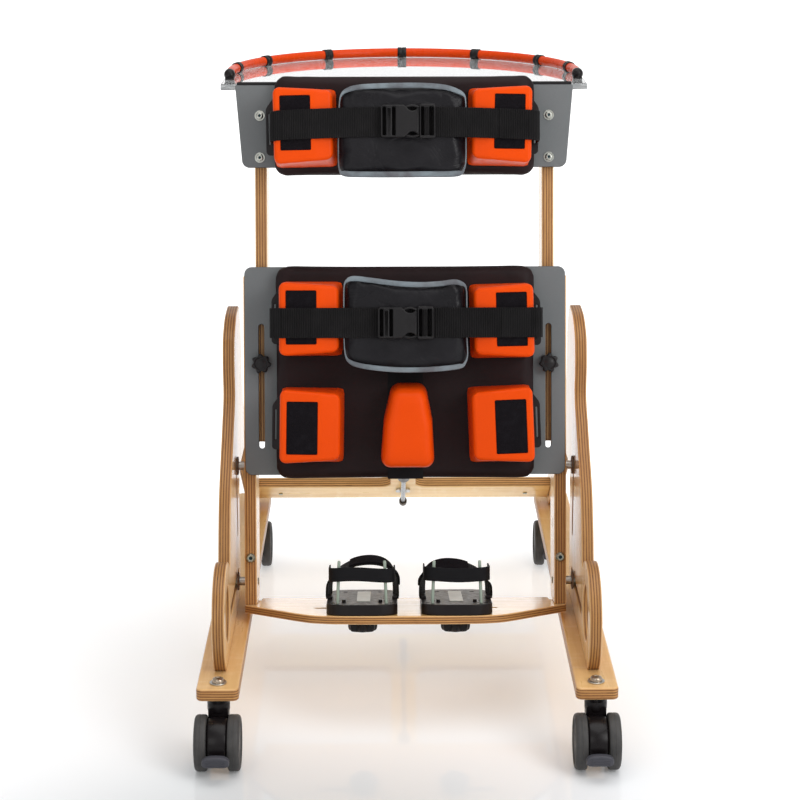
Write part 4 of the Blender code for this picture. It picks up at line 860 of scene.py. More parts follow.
# ---------------------------------------------------------------- bolts of the tilting frame
def guide_bolt(side, sign, s, inner, node):
    c = at(0, s, 0)
    m = basis((0, 0, 1), (0, sign, 0), (sign, 0, 0), c)
    m = rotated((sign, 0, 0), c)
    outer_end = SIDE_X + PLY / 2 - 0.0012
    plate_in = SIDE_X - PLY / 2
    roller = [(0.0, outer_end - 0.0018), (0.0030, outer_end - 0.0018), (0.0036, outer_end), (0.0060, outer_end), (0.0072, outer_end - 0.0012), (0.0072, plate_in - 0.0004), (0.0, plate_in - 0.0004)]
    piece(lathe(node + "_roller", roller, m, 40), "tilt_frame", M_STEEL_DARK, node)
    washer = [(0.0050, plate_in - 0.0008), (0.0136, plate_in - 0.0008), (0.0140, plate_in - 0.0012), (0.0140, plate_in - 0.0028), (0.0136, plate_in - 0.0032), (0.0050, plate_in - 0.0032), (0.0050, plate_in - 0.0008)]
    piece(lathe(node + "_washer", washer, m, 56), "tilt_frame", M_FIBRE)
    spacer = [(0.0, plate_in - 0.0034), (0.0062, plate_in - 0.0034), (0.0065, plate_in - 0.0038), (0.0065, 0.2439), (0.0062, 0.2436), (0.0, 0.2436)]
    piece(lathe(node + "_spacer", spacer, m, 40), "tilt_frame", M_SPACER)
    if inner:
        end_profile = [(0.0, 0.2254), (0.0052, 0.2254), (0.0055, 0.2250), (0.0050, 0.2243), (0.0, 0.2241)]
        piece(lathe(node + "_end", end_profile, m, 32, 20.0), "tilt_frame", M_STEEL_DARK)


for side, sign in (("left", -1), ("right", 1)):
    guide_bolt(side, sign, 0.0, False, "upper_guide_bolt_" + side)
    guide_bolt(side, sign, -PIN_DIST, True, "lower_guide_bolt_" + side)
    # fore-and-aft bolt in the post's front edge
    socket_screw("post_bolt_" + side, at(sign * 0.2343, -0.1369, 0.0400), OUT, "tilt_frame", 0.0072, 0.0042, 0.0, M_STEEL_DARK)

# ---------------------------------------------------------------- strut
TOP = at(0, 0.030, -0.070)
LOW = Vector((0, 0.830 - Y_MID, 0.131))
ALONG = (LOW - TOP).normalized()
STRUT_LEN = (LOW - TOP).length
STRUT = basis(Vector((1, 0, 0)), ALONG.cross(Vector((1, 0, 0))), ALONG, TOP)
cyl = [(0.0, 0.0180), (0.0090, 0.0180), (0.0095, 0.0186), (0.0095, 0.0240), (0.0110, 0.0258), (0.0110, 0.2430), (0.0104, 0.2444), (0.0104, 0.2452), (0.0092, 0.2460), (0.0046, 0.2460), (0.0046, 0.2300), (0.0, 0.2300)]
piece(lathe("strut_body_tube", cyl, STRUT, 40), "strut_body", M_GLOSS, "strut_cylinder")
eye = [filleted([(-0.008, -0.008, 0.006), (0.008, -0.008, 0.006), (0.008, 0.019, 0.0), (-0.008, 0.019, 0.0)], 6), circle(0, 0, 0.0040, 20)]
piece(plate("strut_eye", eye, 0.012, STRUT @ basis((0, 1, 0), (0, 0, 1), (1, 0, 0), (0, 0, 0)), 0.0012, 2), "strut_body", M_BLACK)
rodp = [(0.0, 0.1700), (0.0040, 0.1700), (0.0040, STRUT_LEN - 0.0140), (0.0, STRUT_LEN - 0.0140)]
piece(lathe("strut_piston_rod", rodp, STRUT, 32), "strut_piston", M_CHROME, "strut_rod")
endp = [(0.0, STRUT_LEN - 0.0145), (0.0064, STRUT_LEN - 0.0145), (0.0068, STRUT_LEN - 0.0138), (0.0068, STRUT_LEN + 0.0020), (0.0058, STRUT_LEN + 0.0032), (0.0, STRUT_LEN + 0.0032)]
piece(lathe("strut_end_joint", endp, STRUT, 32), "strut_piston", M_DARK_STEEL)
tip = [(0.0, STRUT_LEN + 0.0028), (0.0050, STRUT_LEN + 0.0030), (0.0054, STRUT_LEN + 0.0040), (0.0050, STRUT_LEN + 0.0086), (0.0034, STRUT_LEN + 0.0118), (0.0012, STRUT_LEN + 0.0130), (0.0, STRUT_LEN + 0.0130)]
piece(lathe("strut_end_tip", tip, STRUT, 32), "strut_piston", M_BRASS)
for node, mat in (("strut_base_bracket", M_STEEL), ("strut_top_bracket", M_STEEL), ("tray_hinge_bracket", M_STEEL), ("cross_dowel_left", M_STEEL), ("cross_dowel_right", M_STEEL)):
    obj = frame["nodes"][node]
    obj.data.materials.clear()
    obj.data.materials.append(mat)

# ---------------------------------------------------------------- soft goods
def pillow_mesh(name, outline, t0, t1, edge, step=0.006):
    """A closed form of an (x, s) outline between two t levels, with rounded rims."""
    pts = resampled(outline, step)
    area = sum(a.x * b.y - b.x * a.y for a, b in zip(pts, pts[1:] + pts[:1]))
    if area < 0:
        pts = pts[::-1]
    rings = []
    for k in range(0, 7):
        a = math.pi * k / 6
        rings.append((edge * (1 - math.sin(a)), (t0 + t1) / 2 - (t1 - t0) / 2 * math.cos(a)))
    lofted = [[at(q.x, q.y, t) for q in inset_loop(pts, inset)] for inset, t in rings]
    return loft(name, lofted, angle=180.0)


def simulate(obj, pressure=4.0, cap=0.006, frames=20, voxel=0.006, stiff=12.0, pinned=None):
    """Cloth blown up a little from inside, then held to a small movement and made real."""
    mod = obj.modifiers.new("voxel", "REMESH")
    mod.mode = "VOXEL"
    mod.voxel_size = voxel
    made_real(obj)
    start = [v.co.copy() for v in obj.data.vertices]
    cloth = obj.modifiers.new("cloth", "CLOTH")
    cloth.settings.quality = 5
    cloth.settings.mass = 0.3
    cloth.settings.tension_stiffness = stiff
    cloth.settings.compression_stiffness = stiff
    cloth.settings.shear_stiffness = stiff / 2
    cloth.settings.bending_stiffness = 0.6
    cloth.settings.use_pressure = True
    cloth.settings.uniform_pressure_force = pressure
    cloth.settings.effector_weights.gravity = 0.0
    cloth.collision_settings.use_collision = False
    scene = bpy.context.scene
    for f in range(1, frames + 1):
        scene.frame_set(f)
    graph = bpy.context.evaluated_depsgraph_get()
    done = obj.evaluated_get(graph).to_mesh()
    moved = [v.co.copy() for v in done.vertices]
    obj.evaluated_get(graph).to_mesh_clear()
    obj.modifiers.clear()
    scene.frame_set(1)
    for v, a, b in zip(obj.data.vertices, start, moved):
        d = b - a
        if d.length > cap:
            d = d.normalized() * (cap - (cap * 0.35) * math.exp(-(d.length - cap) / cap))
        v.co = a + d
    return start


def relax(obj, rounds=3, factor=0.5):
    bm = bmesh.new()
    bm.from_mesh(obj.data)
    for _ in range(rounds):
        bmesh.ops.smooth_vert(bm, verts=bm.verts, factor=factor, use_axis_x=True, use_axis_y=True, use_axis_z=True)
    bm.to_mesh(obj.data)
    bm.free()


def subdivided(obj, levels=1):
    mod = obj.modifiers.new("fine", "SUBSURF")
    mod.levels = mod.render_levels = levels
    made_real(obj)
    obj.data.shade_smooth()
    return obj


def local(v):
    rel = v - PIN_U
    return Vector((rel.x, rel.dot(UP), rel.dot(OUT)))


def flat_pad(name, node, x0, s0, x1, s1, body, corner=0.017):
    """The thin foam pad: nearly flat, with softly rounded rims and a slight crown."""
    t0, t1 = PAD_T
    outline = rounded_rect(x0, s0, x1, s1, corner, 10)
    obj = pillow_mesh(name, outline, t0 + 0.0006, t1 - 0.0022, 0.0090, 0.005)
    simulate(obj, 3.0, 0.0032, 16, 0.0055, 20.0)
    relax(obj, 2)
    cx, cs = (x0 + x1) / 2, (s0 + s1) / 2
    hx, hs = (x1 - x0) / 2, (s1 - s0) / 2
    spots = [local(v.co) for v in obj.data.vertices]
    grow_x = hx / max(abs(q.x - cx) for q in spots)
    grow_s = hs / max(abs(q.y - cs) for q in spots)
    for v in obj.data.vertices:
        q = local(v.co)
        q.x, q.y = cx + (q.x - cx) * grow_x, cs + (q.y - cs) * grow_s
        u, w = max(-1, min(1, (q.x - cx) / hx)), max(-1, min(1, (q.y - cs) / hs))
        crown = (1 - abs(u) ** 6) * (1 - abs(w) ** 6)
        wrinkle = noise.noise(Vector((q.x * 16, q.y * 24, 3.1))) * 0.0006 + noise.noise(Vector((q.x * 48, q.y * 60, 1.7))) * 0.00022
        if q.z > (t0 + t1) / 2:
            q.z = min(t1 - 0.0002, q.z + 0.0008 * crown + wrinkle * crown - 0.0006)
        q.z = max(t0, q.z)
        v.co = at(*q)
    subdivided(obj)
    piece(obj, body, M_PAD, node)
    # closing seam round the side, two thirds of the way back
    loop = resampled(rounded_rect(x0, s0, x1, s1, corner, 10), 0.006)
    pts = inset_loop(loop, 0.0022)
    seam = tube(name + "_seam", [at(p.x, p.y, t0 + 0.0085) for p in pts], 0.0011, 8, closed=True, up=OUT)
    piece(seam, body, M_PAD)
    return obj


flat_pad("pelvic_pad_cover", "pelvic_pad", -0.1935, -0.0150, 0.1935, 0.3037, "tilt_frame")
flat_pad("chest_pad_cover", "chest_pad", -0.1940, 0.4380, 0.1940, 0.5865, "chest_frame")
# dark fabric strip down the middle of the pelvic pad's lower half, where the pommel slides
strip_path = [at(0.0, s, 0.0760) for s in (-0.0148, 0.02, 0.06, 0.10, 0.14, 0.165)]
strip = ribbon("pad_centre_strip", strip_path, (1, 0, 0), 0.0530, 0.0012, 0.0)
piece(strip, "tilt_frame", M_STRIP)


def belly(name, node, outline, body, t_back=0.1186, t_front=0.1456, bulge=0.0035, quilt=0.0):
    pts2 = smooth_run(outline, 4, closed=True)
    inner = [tuple(p) for p in inset_loop([Vector(p) for p in resampled(pts2, 0.004)], 0.0022)]
    obj = pillow_mesh(name, inner, t_back + 0.0020, t_front - 0.0030, 0.0075, 0.0045)
    simulate(obj, 4.5, 0.0070, 18, 0.0048, 10.0)
    relax(obj, 2)
    cx = sum(p[0] for p in outline) / len(outline)
    cs = sum(p[1] for p in outline) / len(outline)
    for v in obj.data.vertices:
        q = local(v.co)
        fold = noise.noise(Vector((q.x * 26 + 4.0, q.y * 15, 0.6))) * 0.0016 + noise.noise(Vector((q.x * 60, q.y * 38, 2.2))) * 0.0006
        # creases that run down from the top corners
        corner = math.exp(-((abs(q.x - cx) - 0.072) / 0.020) ** 2) * max(0.0, min(1.0, (q.y - cs) / 0.05))
        fold += 0.0014 * corner * math.sin((q.x - cx) * 320 + (q.y - cs) * 90)
        if q.z > 0.132:
            q.z += fold
        q.z = max(t_back - 0.0002, min(t_front + 0.0005, q.z))
        v.co = at(*q)
    subdivided(obj)
    piece(obj, body, M_BELLY, node)
    # satin binding on the front and back rims: broad along the top and bottom, narrow at the sides
    ring = resampled(pts2, 0.0035)
    area = sum(a.x * b.y - b.x * a.y for a, b in zip(ring, ring[1:] + ring[:1]))
    if area < 0:
        ring = ring[::-1]
    count = len(ring)
    for part, t, wide in (("front", t_front - 0.0024, 1.0), ("back", t_back + 0.0032, 0.8)):
        rings = []
        for i, p in enumerate(ring):
            a, b = ring[i - 1], ring[(i + 1) % count]
            tangent = (b - a).normalized()
            outward = Vector((tangent.y, -tangent.x))
            flatness = abs(outward.y) ** 1.5
            w = (0.0009 + 0.0030 * flatness) * wide
            h = 0.0014 + 0.0006 * (1 - flatness)
            wave = 0.0006 * math.sin(i * 0.9) * noise.noise(Vector((i * 0.21, t * 40, 0.3)))
            section = []
            for k in range(14):
                ang = 2 * math.pi * k / 14
                ca, sa = math.cos(ang), math.sin(ang)
                du = w * math.copysign(abs(ca) ** 0.6, ca) - w * 0.80
                dt = h * math.copysign(abs(sa) ** 0.8, sa) + wave
                section.append(at(p.x + outward.x * du, p.y + outward.y * du, t + dt))
            rings.append(section)
        band = loft(name + "_binding_" + part, rings, closed=True, angle=70.0)
        piece(band, body, M_SATIN)
    # stitching on the front binding's inner side
    stitch_rows = inset_loop(ring, 0.0088)
    bm = bmesh.new()
    for i in range(0, count, 1):
        p, q = stitch_rows[i], stitch_rows[(i + 1) % count]
        tangent = (q - p)
        if tangent.length < 0.0012 or abs(tangent.normalized().x) < 0.75:
            continue
        a, b = p.lerp(q, 0.15), p.lerp(q, 0.72)
        direction = (b - a).normalized()
        side_ = Vector((-direction.y, direction.x)) * 0.00032
        z = t_front - 0.0012
        corners = [at(c.x, c.y, z) for c in (a - side_, b - side_, b + side_, a + side_)]
        top = [at(c.x, c.y, z + 0.0009) for c in (a - side_ * 0.5, b - side_ * 0.5, b + side_ * 0.5, a + side_ * 0.5)]
        lo = [bm.verts.new(c) for c in corners]
        hi = [bm.verts.new(c) for c in top]
        bm.faces.new(hi)
        bm.faces.new(lo[::-1])
        for k in range(4):
            j = (k + 1) % 4
            bm.faces.new((lo[k], lo[j], hi[j], hi[k]))
    threads = from_bmesh(bm, name + "_stitches", 30.0)
    piece(threads, body, M_WEB_X)
    return obj


PELVIC_BELLY = [(-0.0900, 0.2720), (-0.0862, 0.2820), (-0.0750, 0.2868), (-0.0458, 0.2835), (-0.0152, 0.2795), (0.0180, 0.2775), (0.0480, 0.2785), (0.0715, 0.2812), (0.0827, 0.2782), (0.0896, 0.2700),
                (0.0905, 0.2400), (0.0905, 0.2000), (0.0915, 0.1720), (0.0880, 0.1590), (0.0790, 0.1520), (0.0406, 0.1478), (0.0, 0.1470), (-0.0300, 0.1485), (-0.0640, 0.1530), (-0.0820, 0.1600), (-0.0890, 0.1740),
                (-0.0905, 0.2100), (-0.0905, 0.2450)]
CHEST_BELLY = [(-0.0955, 0.5400), (-0.0925, 0.5520), (-0.0850, 0.5592), (-0.0700, 0.5640), (-0.0425, 0.5660), (-0.0105, 0.5668), (0.0250, 0.5668), (0.0520, 0.5648), (0.0690, 0.5612), (0.0850, 0.5530), (0.0895, 0.5400),
               (0.0897, 0.4900), (0.0897, 0.4600), (0.0875, 0.4430), (0.0785, 0.4335), (0.0330, 0.4325), (-0.0105, 0.4322), (-0.0600, 0.4325), (-0.0890, 0.4340), (-0.0965, 0.4430), (-0.0975, 0.4700), (-0.0970, 0.5050)]
belly("pelvic_belly_cover", "pelvic_belly_pad", PELVIC_BELLY, "tilt_frame")
belly("chest_belly_cover", "chest_belly_pad", CHEST_BELLY, "chest_frame")

# ---------------------------------------------------------------- orange supports
def support(name, node, cx, cs, w, h, sign, body, twist=0.0, above=0.12, below=0.16):
    """A soft wedge: full height on its outer side, tapering towards the inner side, with a recess for hook tape."""
    T = BLOCK_T[1] - BLOCK_T[0] - 0.0
    out_x, in_x = -w / 2, w / 2          # local u from the outer side to the inner side
    crease = -w / 2 + w * 0.635

    def top(u, depth):
        f = (u - out_x) / w
        return h / 2 - (0.0010 + 0.0068 * f) * depth

    bm = bmesh.new()
    lines = [out_x, crease, in_x]
    base_v, front_v = {}, {}
    for i, u in enumerate(lines):
        for j, sg in ((0, -1), (1, 1)):
            base_v[i, j] = bm.verts.new((u, sg * h / 2, 0.0))
            fu = u + (0.0012 if i == 0 else (-0.0050 if i == 2 else 0.0))
            t = T if i < 2 else T - 0.0052
            front_v[i, j] = bm.verts.new((fu, sg * top(u, 1.0), t))
    bm.faces.new([base_v[0, 0], base_v[0, 1], base_v[1, 1], base_v[2, 1], base_v[2, 0], base_v[1, 0]])
    bm.faces.new([front_v[0, 0], front_v[1, 0], front_v[1, 1], front_v[0, 1]])
    bm.faces.new([front_v[1, 0], front_v[2, 0], front_v[2, 1], front_v[1, 1]])
    bm.faces.new([base_v[0, 0], front_v[0, 0], front_v[0, 1], base_v[0, 1]])
    bm.faces.new([base_v[2, 0], base_v[2, 1], front_v[2, 1], front_v[2, 0]])
    for j in (0, 1):
        bm.faces.new([base_v[0, j], base_v[1, j], front_v[1, j], front_v[0, j]])
        bm.faces.new([base_v[1, j], base_v[2, j], front_v[2, j], front_v[1, j]])
    bmesh.ops.recalc_face_normals(bm, faces=bm.faces)
    weight = bm.edges.layers.float.new("bevel_weight_edge")
    for e in bm.edges:
        a, b = e.verts
        za, zb = a.co.z, b.co.z
        if len(e.link_faces) < 2:
            continue
        turn = e.link_faces[0].normal.angle(e.link_faces[1].normal)
        if za < 0.001 and zb < 0.001:
            e[weight] = 0.22 if turn > 0.3 else 0.0
        elif (za < 0.001) != (zb < 0.001):
            e[weight] = 1.0 if turn > 0.6 else 0.0
        elif turn > 0.6:
            e[weight] = 0.52
        elif turn > 0.02:
            e[weight] = 0.45
    mesh = bpy.data.meshes.new(name)
    bm.to_mesh(mesh)
    bm.free()
    obj = link(mesh, name, smooth=False)
    mod = obj.modifiers.new("round", "BEVEL")
    mod.limit_method = "WEIGHT"
    mod.width = 0.0105
    mod.segments = 7
    mod.use_clamp_overlap = False
    made_real(obj)
    # recess for the hook tape
    wx0, wx1 = out_x + w * 0.115, out_x + w * 0.605
    wy0, wy1 = -h / 2 + h * below, h / 2 - h * above
    cutter_loop = rounded_rect(wx0, wy0, wx1, wy1, 0.0022, 4)
    cutter = plate(name + "_cut", [cutter_loop], 0.0080, Matrix.Translation((0, 0, T + 0.0040 - 0.0024)), 0.0)
    cutter.modifiers.clear()
    cut = obj.modifiers.new("recess", "BOOLEAN")
    cut.object = cutter
    cut.operation = "DIFFERENCE"
    cut.solver = "EXACT"
    made_real(obj)
    bpy.data.objects.remove(cutter, do_unlink=True)
    place = XS(0) @ Matrix.Translation((cx, cs, BLOCK_T[0])) @ Matrix.Rotation(math.radians(twist), 4, "Z")
    flip = Matrix.Identity(4) if sign < 0 else Matrix.Scale(-1, 4, (1, 0, 0))
    obj.data.transform(place @ flip)
    if sign > 0:
        obj.data.flip_normals()
    obj.data.shade_smooth()
    obj.data.set_sharp_from_angle(angle=math.radians(35))
    even_normals(obj)
    piece(obj, body, M_ORANGE, node)
    # hook tape in the recess
    tape = plate(name + "_hook_tape", [rounded_rect(wx0 + 0.0006, wy0 + 0.0006, wx1 - 0.0006, wy1 - 0.0006, 0.0018, 4)], 0.0016, Matrix.Translation((0, 0, T - 0.0016)), 0.0005, 2)
    tape.data.transform(place @ flip)
    if sign > 0:
        tape.data.flip_normals()
    piece(tape, body, M_HOOK)
    # bracket behind the outer side: a rounded plate with a strap slot
    bo = out_x - 0.0130
    bracket = [filleted([(bo, -h * 0.34, 0.006), (out_x + 0.024, -h * 0.34, 0.003), (out_x + 0.024, h * 0.40, 0.003), (out_x - 0.0015, h * 0.40, 0.009), (bo, h * 0.26, 0.014)], 8), slot(bo + 0.0054, -h * 0.19, bo + 0.0054, h * 0.19, 0.0013, 5)]
    br = plate(name + "_bracket", bracket, 0.0040, Matrix.Translation((0, 0, 0.0022)), 0.0008, 2)
    br.data.transform(place @ flip)
    if sign > 0:
        br.data.flip_normals()
    piece(br, body, M_BLACK)
    return obj


support("support_upper_left", "hip_block_upper_left", -0.1392, 0.2249, 0.0932, 0.1105, -1, "hip_upper_left")
support("support_upper_right", "hip_block_upper_right", 0.1425, 0.2212, 0.0932, 0.1105, 1, "hip_upper_right", 1.2)
support("support_lower_left", "hip_block_lower_left", -0.1384, 0.0670, 0.0944, 0.1110, -1, "hip_lower_left", -0.8, 0.165, 0.13)
support("support_lower_right", "hip_block_lower_right", 0.1413, 0.0680, 0.0950, 0.1130, 1, "hip_lower_right", 2.2, 0.165, 0.13)
support("support_chest_left", "chest_block_left", -0.1463, 0.5068, 0.0921, 0.1147, -1, "chest_side_left", 1.0, 0.12, 0.18)
support("support_chest_right", "chest_block_right", 0.1399, 0.5081, 0.0925, 0.1147, 1, "chest_side_right", -1.0, 0.12, 0.18)

# pommel: a rounded wedge that narrows upwards and towards its front
POMMEL = [(-0.0375, 0.0068, 0.013), (0.0435, 0.0068, 0.013), (0.0403, 0.075, 0.03), (0.0298, 0.1291, 0.016), (-0.0198, 0.1291, 0.016), (-0.0323, 0.075, 0.03)]
base_loop = resampled(filleted(POMMEL, 10), 0.0022)
centre_p = Vector((0.003, 0.0600))
rings = []
for depth, kx, ks, drop in ((0.0004, 0.985, 0.990, 0.0), (0.0014, 1.0, 1.0, 0.0), (0.0200, 0.990, 0.990, -0.0008), (0.0420, 0.975, 0.975, -0.0020), (0.0540, 0.955, 0.955, -0.0028), (0.0610, 0.925, 0.925, -0.0034),
                            (0.0660, 0.880, 0.885, -0.0036), (0.0695, 0.815, 0.830, -0.0036), (0.0714, 0.730, 0.760, -0.0034), (0.0724, 0.620, 0.660, -0.0030), (0.0728, 0.480, 0.520, -0.0024), (0.0730, 0.300, 0.330, -0.0016), (0.0731, 0.120, 0.130, -0.0010)):
    rings.append([at(centre_p.x + (p.x - centre_p.x) * kx, centre_p.y + (p.y - centre_p.y) * ks + drop, BLOCK_T[0] + depth - 0.0002) for p in base_loop])
pommel = loft("pommel_foam", rings, angle=60.0)
piece(pommel, "pommel_unit", M_ORANGE, "pommel")

# ---------------------------------------------------------------- straps and buckles
def strap(name, node, sign, inner, outer, s0, s1, body, sag=0.0):
    """Ribbed webbing from the buckle over the side support and down its outer side to the bracket."""
    tm, r = 0.1485, 0.0092
    sm = (s0 + s1) / 2
    path = []
    for k in range(25):
        x = sign * (inner + (outer - 0.001 - r - inner) * k / 24)
        path.append(at(x, sm + sag * (abs(x) / 0.2) ** 2, tm))
    x_c = outer - 0.001 - r
    for k in range(1, 9):
        a = math.pi / 2 * k / 8
        path.append(at(sign * (x_c + r * math.sin(a)), sm + sag, tm - r + r * math.cos(a)))
    for k in range(1, 15):
        t = tm - r - (tm - r - 0.0822) * k / 14
        path.append(at(sign * (outer - 0.001), sm + sag, t))
    obj = ribbon(name, path, UP, s1 - s0, 0.0021, 0.00055, 0.0026)
    piece(obj, body, M_WEB_X, node)
    # sewn end: a second ply over the strap
    inner_end = outer - 0.060
    lap = [at(sign * (inner_end + (0.042) * k / 10), sm + sag * ((inner_end + 0.042 * k / 10) / 0.2) ** 2, tm + 0.0014) for k in range(11)]
    piece(ribbon(name + "_lap", lap, UP, s1 - s0 - 0.0006, 0.0012, 0.0004, 0.0026), body, M_WEB_X)
    return obj


strap("pelvic_webbing_left", "pelvic_strap_left", -1, 0.0050, 0.1985, 0.1970, 0.2410, "hip_upper_left")
strap("pelvic_webbing_right", "pelvic_strap_right", 1, 0.0050, 0.2010, 0.1970, 0.2410, "hip_upper_right")
strap("chest_webbing_left", "chest_strap_left", -1, 0.0020, 0.1968, 0.4890, 0.5325, "chest_side_left", -0.0058)
strap("chest_webbing_right", "chest_strap_right", 1, 0.0080, 0.1970, 0.4890, 0.5325, "chest_side_right", -0.0058)


def buckle(name, node, x0, x1, s0, s1, body):
    """A side-release buckle: ladder bars at both ends, a waisted shell and the two sprung arms in its mouths."""
    w, h = x1 - x0, s1 - s0
    t = 0.1499
    X = lambda f: x0 + w * f
    S = lambda f: s0 + h * f
    # female half: from its slot to the waist
    shell = filleted([(X(0.0), S(0.03), 0.004), (X(0.42), S(0.03), 0.003), (X(0.47), S(0.10), 0.006), (X(0.53), S(0.195), 0.010), (X(0.63), S(0.195), 0.010), (X(0.695), S(0.06), 0.002),
                      (X(0.695), S(0.94), 0.002), (X(0.63), S(0.800), 0.010), (X(0.53), S(0.800), 0.010), (X(0.47), S(0.90), 0.006), (X(0.42), S(0.97), 0.003), (X(0.0), S(0.97), 0.004)], 6)
    slots = [rounded_rect(X(0.025), S(0.09), X(0.090), S(0.91), 0.0015, 4), rounded_rect(X(0.205), S(0.09), X(0.262), S(0.91), 0.0012, 4)]
    piece(plate(name + "_shell", [shell] + slots, 0.0100, XS(t + 0.0056), 0.0020, 4), body, M_BLACK, node)
    # male half: a frame with two slots
    male = rounded_rect(X(0.705), S(0.0), X(1.0), S(1.0), 0.0036, 6)
    gaps = [rounded_rect(X(0.735), S(0.085), X(0.790), S(0.915), 0.0012, 4), rounded_rect(X(0.885), S(0.085), X(0.965), S(0.915), 0.0014, 4)]
    piece(plate(name + "_tongue", [male] + gaps, 0.0088, XS(t + 0.0052), 0.0018, 4), body, M_BLACK)
    # webbing that loops over the bars
    for tag, a, b in (("l", 0.098, 0.198), ("r", 0.797, 0.878)):
        bar = rounded_rect(X(a), S(0.085), X(b), S(0.915), 0.001, 3)
        piece(plate(name + "_bar_" + tag, [bar], 0.0062, XS(t + 0.0075), 0.0022, 4), body, M_WEB_X)
    # floors of the slots stay dark: the strap runs behind them
    # sprung arms
    for tag, s_edge, sg in (("low", 0.045, -1), ("high", 0.955, 1)):
        path = []
        for k in range(15):
            f = k / 14
            x = X(0.455 + 0.235 * f)
            bow = math.sin(math.pi * f)
            path.append(at(x, S(s_edge) - sg * 0.0030 + sg * 0.0026 * bow, t + 0.0052))
        piece(tube(name + "_arm_" + tag, path, 0.0021, 12, flat=1.6, up=OUT), body, M_BLACK)


buckle("pelvic_clasp", "pelvic_buckle", -0.0397, 0.0413, 0.1950, 0.2430, "tilt_frame")
buckle("chest_clasp", "chest_buckle", -0.0345, 0.0445, 0.4860, 0.5360, "chest_frame")

# ---------------------------------------------------------------- star knobs
def star_knob(name, node, centre, direction, radius, height, body, shank_r, shank, lobes=7, turn=0.0):
    z = Vector(direction).normalized()
    x = Vector((1, 0, 0))
    m = basis(x, z.cross(x), z, centre)
    n = lobes * 12
    rings = []

    def ring(h, grow, depth):
        pts = []
        for i in range(n):
            a = 2 * math.pi * i / n
            c = math.cos(lobes * (a + turn))
            lobe = (0.5 + 0.5 * c)
            r = (radius - depth + depth * lobe ** 0.75) * grow
            pts.append(m @ Vector((r * math.cos(a), r * math.sin(a), h)))
        return pts

    d = radius * 0.24
    for h, grow, depth in ((0.0, 0.62, d * 0.4), (height * 0.10, 0.80, d * 0.8), (height * 0.26, 0.95, d), (height * 0.42, 1.0, d), (height * 0.72, 1.0, d), (height * 0.86, 0.965, d * 0.95),
                           (height * 0.95, 0.90, d * 0.85), (height * 0.985, 0.80, d * 0.5), (height * 0.985, 0.66, d * 0.15), (height * 0.93, 0.58, 0.0), (height * 0.925, 0.46, 0.0), (height * 0.975, 0.36, 0.0), (height, 0.12, 0.0)):
        rings.append(ring(h, grow, depth))
    obj = loft(name, rings, angle=34.0)
    piece(obj, body, M_BLACK, node)
    shank_obj = lathe(name + "_shank", [(0.0, -shank), (shank_r * 0.8, -shank), (shank_r, -shank + 0.0008), (shank_r, 0.002), (0.0, 0.002)], m, 24)
    piece(shank_obj, body, M_STEEL)
    return obj


for side, sign in (("left", -1), ("right", 1)):
    c = at(sign * SLOT_X, 0.1578, PANEL_T[1] + 0.0006)
    star_knob("post_knob_" + side, "post_clamp_knob_" + side, c, OUT, 0.0150, 0.0174, "post_clamp_" + side, 0.0032, 0.036, turn=0.12 if sign < 0 else 0.30)
    c2 = at(-0.0650 if sign < 0 else 0.0742, FOOT_S[0] - 0.0006, 0.078)
    star_knob("sandal_knob_" + side, "sandal_clamp_knob_" + side, c2, -UP, 0.0225, 0.0220, "sandal_clamp_" + side, 0.0035, 0.012, turn=0.20)

# ---------------------------------------------------------------- tray
A, YC, B = 0.2675, 0.560, 0.283


def rail_point(a, grow=0.0):
    return ((A + grow) * math.cos(a), YC + (B + grow) * math.sin(a))


tray_outline = [(0.2775, 0.472), (0.2775, 0.548)] + [rail_point(math.pi * i / 90, 0.010) for i in range(91)] + [(-0.2775, 0.548), (-0.2775, 0.472)]
tray = plate("tray_sheet", [[(x, y - Y_MID) for x, y in tray_outline]], 0.0096, Matrix.Translation((0, 0, 0.9028)), 0.0016, 3)
piece(tray, "tray_unit", M_CLEAR, "tray")
# the sheet's edge faces take the grey edge colour: painted shade seen through the clear edge
tray.data.materials.append(M_SHEET_EDGE)
for face in tray.data.polygons:
    if abs(face.normal.z) < 0.55:
        face.material_index = 1
rail_z = 0.9076 + 0.0003 + 0.0075
route = [(A, 0.531), (A, 0.538), (A, 0.546), (A, 0.553)] + [rail_point(math.pi * i / 96) for i in range(97)] + [(-A, 0.553), (-A, 0.546), (-A, 0.538), (-A, 0.531)]
rail = tube("rail_tube", [(x, y - Y_MID, rail_z) for x, y in route], 0.0075, 24)
piece(rail, "tray_unit", M_TUBE, "tray_rail")
for side, sign in (("left", -1), ("right", 1)):
    # ball end caps of the rail
    c = Vector((sign * A, 0.531 - Y_MID, rail_z))
    prof = [(0.0, 0.0086), (0.0030, 0.0081), (0.0056, 0.0067), (0.0075, 0.0045), (0.0085, 0.0018), (0.0086, -0.0010), (0.0086, -0.0060), (0.0082, -0.0068), (0.0, -0.0068)]
    piece(lathe("rail_cap_" + side, prof, rotated((0, -1, 0), c), 40), "tray_unit", M_GLOSS)
    foot_clip = plate("rail_cap_foot_" + side, [rounded_rect(c.x - 0.0070, c.y - 0.0075, c.x + 0.0070, c.y + 0.0075, 0.002, 4)], 0.0030, Matrix.Translation((0, 0, 0.9078 + 0.0015)), 0.0006, 2)
    piece(foot_clip, "tray_unit", M_BLACK)


